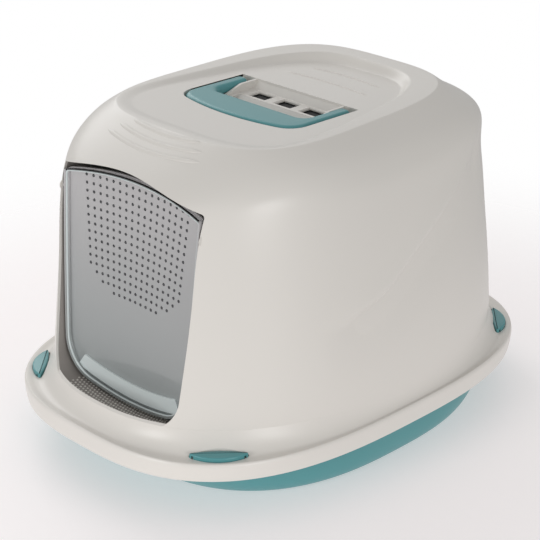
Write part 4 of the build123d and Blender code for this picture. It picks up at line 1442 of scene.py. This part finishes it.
@dataclass(kw_only=True)
class Tray(Part):
    """The boat-shaped tray with its turned-down rim.

    Attributes:
        wall: Wall thickness.
        top: Height of the rim.
        rim: Half width, reach and fullness of the rim's edge.
        profile: Height, half width, reach and fullness up the outside below the rim.
    """

    body: str = "tray"
    wall: float = 2.4
    top: float = 58.1
    rim: tuple = (200.0, 268.0, 2.3)
    profile: tuple = (
        (0.0, 176.0, 204.0, 2.62),
        (3.0, 183.0, 211.5, 2.62),
        (9.0, 188.0, 219.5, 2.62),
        (20.0, 191.5, 231.0, 2.58),
        (38.0, 192.5, 247.0, 2.5),
    )

    def build(self) -> None:
        """Build the tray."""
        outline = Outline(320)
        rows = np.array([*self.profile, (self.top, 192.5, 260.0, 2.4)])
        places = run_along(rows[:, :3] * [1, 0.5, 0.5])
        curve = smooth_curve(places, rows)
        outer = curve(np.linspace(0, places[-1], 60))
        sizes = [(z, hw, hl, n) for z, hw, hl, n in outer if z < 55.4]
        rings = [outline.ring((176.0 * k, 204.0 * k, 204.0 * k, 2.8), 0.0) for k in (0.5, 0.8)]
        rings += [outline.ring((hw, hl, hl, n), z) for z, hw, hl, n in sizes]
        lip = [(55.7, 9.0), (55.7, self.wall), (52.1, self.wall), (52.1, 0.2), (52.4, 0.0), (56.9, 0.0)]
        half, reach, fullness = self.rim
        for z, inset in (*lip, (57.7, 0.35), (self.top, 1.2)):
            rings.append(outline.ring((half - inset, reach - inset, reach - inset, fullness), z))
        rings.append(outline.ring((191.6, 259.0, 259.0, 2.35), self.top))
        rings.append(outline.ring((190.4, 257.9, 257.9, 2.35), 57.6))
        for z, hw, hl, n in outer[::-1]:
            level = self.wall + z * (self.top - self.wall) / self.top
            if level < 57.2:
                rings.append(outline.ring((hw - self.wall, hl - self.wall, hl - self.wall, n), level))
        rings += [outline.ring((173.6 * k, 201.6 * k, 201.6 * k, 2.62), self.wall) for k in (0.8, 0.5)]
        tray = to_object(strip_mesh(np.array(rings), False, True, True), "tray_shell", RIM_SMOOTH_BELOW)
        self.keep(tray, self.finish, "tray")
        self.attach("tray")


@dataclass(kw_only=True)
class Flap(Part):
    """The clear swing flap with its dots.

    Attributes:
        edge: The light plastic of the inner bead and the lower band: painted highlight of the flap's clear
            edges.
        gap: The near-black plastic of the outer bead: painted shadow of the dark gap around the flap.
        dot: Dark grey of the dots: painted shade of the clear dots, which look dark as little lenses.
        lean: How far it leans back, in radians.
        face: Reach and height of the middle of its back.
        hollow: Radius of its bow.
        reach: Half the width of the slab it is cut from.
        sheet_shape: Its outline.
        dish_shape: Outline of the hollow in its front.
        dot_top: Height of the top row of dots.
        dot_columns: Columns of dots on each side of the middle one.
        dot_rows: Rows in a full column.
        short_columns: Column and rows of each shorter column.
        dot_spacing: Spacing of the dots across and down.
        dot_narrowing: How much closer each row's dots stand than the row above.
    """

    edge: bpy.types.Material
    gap: bpy.types.Material
    dot: bpy.types.Material
    body: str = "flap"
    lean: float = math.radians(5.1)
    face: tuple[float, float] = (199.0, 180.0)
    hollow: float = 704.0
    reach: float = 115.2
    dot_top: float = 300.0
    dot_columns: int = 8
    dot_rows: int = 15
    short_columns: tuple = ((8, 12), (7, 13), (6, 14), (5, 14))
    dot_spacing: tuple[float, float] = (9.65, 8.5)
    dot_narrowing: float = 0.108
    sheet_shape: Doorway = Doorway(
        top_half=102.8,
        middle_half=100.0,
        bottom_half=92.6,
        top_middle=311.0,
        top_corner=300.0,
        bottom_middle=70.5,
        bottom_rounding=52.0,
    )
    dish_shape: Doorway = Doorway(
        top_half=100.8,
        middle_half=98.0,
        bottom_half=90.6,
        top_middle=331.0,
        top_corner=320.0,
        bottom_corner=89.0,
        bottom_middle=72.5,
        top_rounding=3.0,
        bottom_rounding=50.0,
    )

    def leaning(
        self, name: str, outline: list, near: float, far: float, play: float = 0.0
    ) -> bpy.types.Object:
        """An outline cut out of a leaning slab.

        Args:
            name: The object's name.
            outline: X and Z of its points.
            near: Depth of the slab's back face.
            far: Depth of its front face.
            play: How much further the outline runs at each end.

        Returns:
            The object.
        """
        made = to_object(prism_mesh(outline, -259.5 - play, -168.0 + play, "Y"), name)
        cut(made, self.slab(near, far), "INTERSECT")
        return made

    def slab(self, near: float, far: float) -> bpy.types.Mesh:
        """A leaning slab bowed to the back.

        Args:
            near: Depth of its back face ahead of the flap's back.
            far: Depth of its front face.

        Returns:
            The mesh.
        """
        reach = self.reach
        bow = self.hollow - math.sqrt(self.hollow**2 - reach**2)
        back = arc_through((-reach, -bow - near), (0, -near), (reach, -bow - near), 65)
        front = arc_through((-reach, -bow - far), (0, -far), (reach, -bow - far), 65)
        mesh = prism_mesh(front + back[::-1], -150.0, 150.0)
        stand = Matrix.Translation((0, -self.face[0] * MM, self.face[1] * MM))
        mesh.transform(stand @ Matrix.Rotation(-self.lean, 4, "X"))
        return mesh

    def face_at(self, x: float, z: float) -> tuple[float, float, float]:
        """A point on the flap's front face.

        Args:
            x: Across.
            z: Height.

        Returns:
            The point.
        """
        bow = self.hollow - math.sqrt(self.hollow**2 - x**2)
        y = -self.face[0] + (z - self.face[1]) * math.tan(self.lean) - (bow + 2.0) / math.cos(self.lean)
        return (x, y, z)

    def rim(self, name: str, shape: Doorway, inset: float, size: float, lift: float) -> bpy.types.Object:
        """A thick bead around the sheet.

        Args:
            name: The object's name.
            shape: The sheet's outline.
            inset: How far inside the outline its middle lies.
            size: Half its width.
            lift: How far ahead of the sheet's face it lies.

        Returns:
            The bead.
        """
        loop = grown(shape.loop(), -inset)
        spine = np.array([self.face_at(float(x), float(z)) for x, z in loop])
        rings = []
        for turn in np.linspace(0, 2 * math.pi, 13)[:-1]:
            moved = grown(loop, size * math.cos(turn))
            depth = spine[:, 1] - lift - 1.5 * size * math.sin(turn)
            rings.append(np.column_stack([moved[:, 0], depth, moved[:, 1]]))
        return to_object(strip_mesh(np.array(rings), True, False, False), name, 60.0)

    @staticmethod
    def foot_loop() -> list[tuple[float, float]]:
        """The raised band along the flap's lower edge.

        Returns:
            The loop's points.
        """
        low = [(x, 75.0 + 0.00195 * x * x) for x in np.linspace(-80.0, 80.0, 33)]
        high = [(x, 91.0 + 0.00195 * x * x) for x in np.linspace(71.0, -71.0, 33)]
        return low + high

    def build(self) -> None:
        """Build the flap."""
        shape = self.sheet_shape
        flap = self.leaning("flap_sheet", list(shape.loop()), 0.0, 8.0)
        dish = self.leaning("dish", list(self.dish_shape.loop()), 2.0, 14.0, 10.0)
        tool = dish.data.copy()
        bpy.data.objects.remove(dish)
        cut(flap, tool)
        smooth(flap.data)
        self.keep(flap, self.finish, "flap")
        # The lower band takes the light edge plastic: painted highlight along the flap's foot.
        band = self.leaning("flap_band", self.foot_loop(), 1.8, 3.4)
        smooth(band.data)
        self.keep(band, self.edge, "flap")
        # The outer bead is near-black: painted shadow of the gap around the flap.
        self.keep(self.rim("flap_edge", shape, 0.9, 0.8, 4.8), self.gap, "flap")
        # The inner bead is light: painted highlight of the flap's clear edge.
        self.keep(self.rim("flap_bead", shape, 2.7, 0.8, 4.6), self.edge, "flap")
        pins = both_sides(circle(*FLAP_HINGE, 2.4, 24), 100.0, 105.6)
        self.keep(join("flap_pins", pins), self.finish, "flap")
        rows = dict(self.short_columns)
        across, down = self.dot_spacing
        spots = []
        for column in range(-self.dot_columns, self.dot_columns + 1):
            for row in range(rows.get(abs(column), self.dot_rows)):
                x = column * (across - self.dot_narrowing * row)
                spots.append(self.face_at(x, self.dot_top - down * row - 2.0 * (x / 77.0) ** 2))
        # The clear dots are painted dark grey: painted shade in place of the dark they show as little lenses.
        dots = Dots(radius=1.75, rise=0.8).place("flap_dots", spots, [(0, -1, 0)] * len(spots), self.dot)
        self.keep(dots, self.dot, "flap")
        self.attach("flap")


@dataclass(kw_only=True)
class Handle(Part):
    """The folding carry handle.

    Attributes:
        bow: Its outline.
        form: The hood it folds into.
        tail: Y of its arms' ends.
        rounding: Rounding of its top edge.
    """

    body: str = "handle"
    bow: Bow = Bow()
    form: HoodForm = HoodForm()
    tail: float = 26.0
    rounding: float = 5.4

    def build(self) -> None:
        """Build the handle."""
        bow, tail = self.bow, self.tail
        loops = [(bow.ring(0.0, tail), -7.4)]
        for turn in np.linspace(0.0, math.pi / 2, 10):
            inset = self.rounding * (1 - math.cos(turn))
            loops.append((bow.ring(inset, tail + 0.8 * inset), -4.2 + self.rounding * math.sin(turn)))
        handle = to_object(stack_mesh(loops), "handle_bow")
        cut(handle, prism_mesh(list(bow.ring(2.2, tail)), -9.0, -2.6))
        handle.data.transform(self.form.on_plate())
        smooth(handle.data)
        self.keep(handle, self.finish, "handle")
        pins = both_sides(circle(*HANDLE_HINGE, 2.0, 24), 69.1, 88.6)
        self.keep(join("handle_pins", pins), self.finish, "handle")
        self.attach("handle")


@dataclass(kw_only=True)
class Latch(Part):
    """One rocking latch on the flange.

    Attributes:
        dimple: Darker teal of its four dimples: painted shade of the hollows.
        index: Which corner it stands at.
        names: The corners.
        pad_span: Height of the pad's underside and of its top.
        pad_rounding: Rounding of the pad's top edge.
        pad_wall: Wall of the pad, which is hollow below.
        leg_half: Half the leg's width.
        pin_half: Half the pin's length.
        dimple_places: X of each dimple.
    """

    dimple: bpy.types.Material
    index: int = 0
    names: tuple = ("front_left", "front_right", "back_left", "back_right")
    pad_span: tuple[float, float] = (64.4, 69.2)
    pad_rounding: float = 1.6
    pad_wall: float = 1.8
    leg_half: float = 13.0
    pin_half: float = 15.4
    dimple_places: tuple = (-13.5, -4.5, 4.5, 13.5)

    @staticmethod
    def corners() -> list[Matrix]:
        """Where the latches stand.

        Returns:
            One placement per latch, in metres.
        """
        across, reach = 142.0, 220.0
        half_width, half_length, fullness = 203.5, 272.0, 2.55
        places = []
        for along in (-1, 1):
            for side in (-1, 1):
                across_slope = side * across ** (fullness - 1) / half_width**fullness
                along_slope = along * reach ** (fullness - 1) / half_length**fullness
                size = math.hypot(across_slope, along_slope)
                out = Vector((across_slope / size, along_slope / size, 0))
                tangent = Vector((out.y, -out.x, 0))
                turn = Matrix((tangent, out, Vector((0, 0, 1)))).transposed().to_4x4()
                places.append(Matrix.Translation((side * across * MM, along * reach * MM, 0)) @ turn)
        return places

    @staticmethod
    def lens(inset: float) -> np.ndarray:
        """The pad's outline.

        Args:
            inset: How far inside its edge.

        Returns:
            The loop's points.
        """
        end, half = 29.0 - inset, 8.5 - inset
        return rounded_loop(
            [
                arc_through((-end, 3.4 - half), (0, -half), (end, 3.4 - half), 25),
                np.linspace((end, 3.4 - half), (end, 5.4 - half), 4),
                arc_through((end, 5.4 - half), (0, half - 1.2), (-end, 5.4 - half), 25),
                np.linspace((-end, 5.4 - half), (-end, 3.4 - half), 4),
            ],
            [0.7, 0.7, 0.7, 0.7],
            5,
        )

    def build(self) -> None:
        """Build one latch."""
        name = self.names[self.index]
        self.body = f"latch_{name}"
        corner = self.corners()[self.index]
        low, high = self.pad_span
        pad = prism_mesh(list(self.lens(0.0)), low, high, "Z", self.pad_rounding)
        pad = to_object(pad, f"latch_pad_{name}")
        cut(pad, prism_mesh(list(self.lens(self.pad_wall)), 60.0, high - self.pad_wall))
        pad.data.transform(corner)
        smooth(pad.data)
        self.keep(pad, self.finish, "latch")
        leg_inner, leg_outer, hook = -4.6, -2.2, -8.95
        leg = [
            (leg_inner, 68.4),
            (leg_outer, 68.4),
            (leg_outer, 53.6),
            (leg_inner, 53.6),
            (hook, 54.6),
            (hook, 56.6),
            (leg_inner, 56.6),
        ]
        leg = prism_mesh(leg, -self.leg_half, self.leg_half, "X")
        pin = prism_mesh(circle(*LATCH_HINGE, 1.1, 16), -self.pin_half, self.pin_half, "X")
        leg.transform(corner)
        pin.transform(corner)
        self.keep(join(f"latch_leg_{name}", [leg, pin]), self.finish, "latch")
        spots = [corner @ (Vector((x, 0.0, high - 0.15)) * MM) / MM for x in self.dimple_places]
        # The four dimples are small raised dots in darker teal: painted shade of the hollows.
        dots = Dots(radius=1.3, rise=0.15)
        dots = dots.place(f"latch_dots_{name}", [tuple(s) for s in spots], [(0, 0, 1)] * 4, self.dimple)
        self.keep(dots, self.dimple, "latch")
        self.attach(f"latch_{name}")


# ------------------------------------------------------------------ studio


@dataclass(frozen=True)
class Studio:
    """Floor, light and camera.

    Attributes:
        camera: Where the camera stands, in metres.
        azimuth: Which way it looks, in degrees.
        elevation: How far it looks down, in degrees.
        lens: Focal length, in millimetres.
        sensor: Width of the camera's sensor, in millimetres.
        clip: Nearest and farthest distance seen, in metres.
        target: What the lamps point at, in metres.
        lamps: Name, place in metres, side in metres and power in watts of each lamp.
    """

    camera: tuple[float, float, float] = (1.2386, -1.2380, 0.9365)
    azimuth: float = 45.20
    elevation: float = 24.08
    lens: float = 116.67
    sensor: float = 36.0
    clip: tuple[float, float] = (0.05, 50.0)
    target: tuple[float, float, float] = (0, 0, 0.2)
    lamps: tuple = (
        ("left", (-2.2, 0.5, 1.6), 1.5, 17.0),
        ("back_left", (-1.9, 1.8, 1.9), 2.2, 9.0),
        ("front", (-0.1, -2.6, 0.6), 0.9, 18.0),
        ("right", (2.5, -0.8, 0.5), 0.9, 15.0),
    )

    def floor(self) -> None:
        """A pale floor that runs out to the background."""
        mesh = bpy.data.meshes.new("floor")
        reach = 6.0
        corners = [(x, y, 0) for x, y in box_loop(reach, -reach, reach)]
        mesh.from_pydata(corners, [], [(0, 1, 2, 3)])
        floor = to_scene("floor", mesh)
        paint(floor, self.paper())

    @staticmethod
    def paper() -> bpy.types.Material:
        """Pale paper that fades into the surround away from the box.

        Returns:
            The material.
        """
        made = Plastic("floor_paper", srgb(222, 215, 215), Sheen.MATT).make()
        nodes, links = made.node_tree.nodes, made.node_tree.links
        shader = nodes["Principled BSDF"]
        shader.inputs["Emission Color"].default_value = (1.0, 0.995, 1.0, 1.0)
        shader.inputs["Emission Strength"].default_value = 0.36
        where = add(nodes, "ShaderNodeTexCoord")
        far = add(nodes, "ShaderNodeVectorMath", operation="LENGTH")
        span = add(nodes, "ShaderNodeMapRange", interpolation_type="SMOOTHSTEP")
        span.inputs["From Min"].default_value = 0.34
        span.inputs["From Max"].default_value = 0.85
        clear = add(nodes, "ShaderNodeBsdfTransparent")
        mix = add(nodes, "ShaderNodeMixShader")
        wire(
            links,
            (where, "Object", far, 0),
            (far, "Value", span, "Value"),
            (span, "Result", mix, "Fac"),
            (shader, "BSDF", mix, 1),
            (clear, "BSDF", mix, 2),
            (mix, "Shader", nodes["Material Output"], "Surface"),
        )
        return made

    def world(self) -> None:
        """A plain pale surround, white to the camera."""
        world = bpy.data.worlds.new("surround")
        bpy.context.scene.world = world
        world.use_nodes = True
        nodes, links = world.node_tree.nodes, world.node_tree.links
        nodes.clear()
        glow = add(nodes, "ShaderNodeBackground", {"Color": WHITE, "Strength": 0.46})
        plain = add(nodes, "ShaderNodeBackground", {"Color": WHITE, "Strength": 1.0})
        path = add(nodes, "ShaderNodeLightPath")
        mix = add(nodes, "ShaderNodeMixShader")
        out = add(nodes, "ShaderNodeOutputWorld")
        wire(
            links,
            (path, "Is Camera Ray", mix, "Fac"),
            (glow, "Background", mix, 1),
            (plain, "Background", mix, 2),
            (mix, "Shader", out, "Surface"),
        )

    @staticmethod
    def aim(thing: bpy.types.Object, place: tuple, way: Vector) -> None:
        """Stand a lamp or camera somewhere and turn it.

        Args:
            thing: The lamp or camera.
            place: Where it stands, in metres.
            way: The direction it looks in.
        """
        thing.location = place
        thing.rotation_mode = "QUATERNION"
        thing.rotation_quaternion = way.to_track_quat("-Z", "Y")

    def light(self) -> None:
        """Set the square soft lamps."""
        for name, place, size, power in self.lamps:
            data = bpy.data.lights.new(name, "AREA")
            data.shape, data.size, data.energy = "SQUARE", size, power
            self.aim(to_scene(name, data), place, Vector(self.target) - Vector(place))

    def shoot(self) -> None:
        """Set the camera."""
        data = bpy.data.cameras.new("camera")
        data.lens = self.lens
        data.sensor_width = self.sensor
        data.clip_start, data.clip_end = self.clip
        camera = to_scene("camera", data)
        turn, dip = math.radians(self.azimuth), math.radians(self.elevation)
        look = Vector((-math.sin(turn) * math.cos(dip), math.cos(turn) * math.cos(dip), -math.sin(dip)))
        self.aim(camera, self.camera, look)
        bpy.context.scene.camera = camera

    def build(self) -> None:
        """Set up the studio."""
        bpy.context.scene.view_settings.view_transform = "Standard"
        self.floor()
        self.world()
        self.light()
        self.shoot()


def main() -> None:
    """Build the box, dress it and set up the studio."""
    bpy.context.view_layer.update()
    hood_white = Plastic("hood_plastic", srgb(226, 222, 216), Sheen.SATIN, 0.004).make()
    teal = Plastic("teal_plastic", srgb(84, 150, 154), Sheen.SATIN).make()
    # The flap's haze is lighter at the top and darker, teal-grey at the bottom: painted light and shade of
    # the inside seen through it.
    clear = ClearPlastic(
        "clear_plastic", (0.93, 0.94, 0.94), srgb(248, 245, 246), srgb(194, 201, 201), 0.56, 0.08
    ).make()
    # Light plastic for the flap's inner bead and lower band: painted highlight of its clear edges.
    edge = Plastic("edge_painted_highlight", srgb(214, 222, 222), Sheen.GLOSS).make()
    # Near-black for the flap's outer bead: painted shadow of the gap around the flap.
    gap = Plastic("edge_shadow", srgb(18, 18, 20), Sheen.GLOSS).make()
    # Dark grey for the flap's clear dots: painted shade.
    dot = Plastic("dot_painted_shade", srgb(66, 66, 69), Sheen.GLOSS).make()
    # Darker teal for the latches' dimples: painted shade.
    dimple = Plastic("dimple_painted_shade", srgb(38, 84, 88), Sheen.SATIN).make()
    dark = Plastic("filter_plastic", srgb(60, 62, 64), Sheen.MATT).make()
    felt = Plastic("carbon_felt", srgb(26, 26, 28), Sheen.MATT).make()
    # Darker plastic for the doorway's passage and sill: painted shade of the recess.
    shade = Plastic("collar_painted_shade", srgb(160, 154, 149), Sheen.MATT).make()
    for part in (
        Hood(finish=hood_white, shade=shade),
        Tray(finish=teal),
        Flap(finish=clear, edge=edge, gap=gap, dot=dot),
        Handle(finish=teal),
        *(Latch(finish=teal, dimple=dimple, index=index) for index in range(4)),
    ):
        part.build()
        for piece in part.pieces:
            LOG.info("%s rides on %s, %d faces", piece.name, part.body, len(piece.data.polygons))
    for node, finish in (("filter_holder", dark), ("filter_pad", felt)):
        paint(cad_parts[node], finish)
        LOG.info("%s keeps its CAD shape, %d faces", node, len(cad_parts[node].data.polygons))
    Studio().build()


if __name__ == "__main__":
    main()
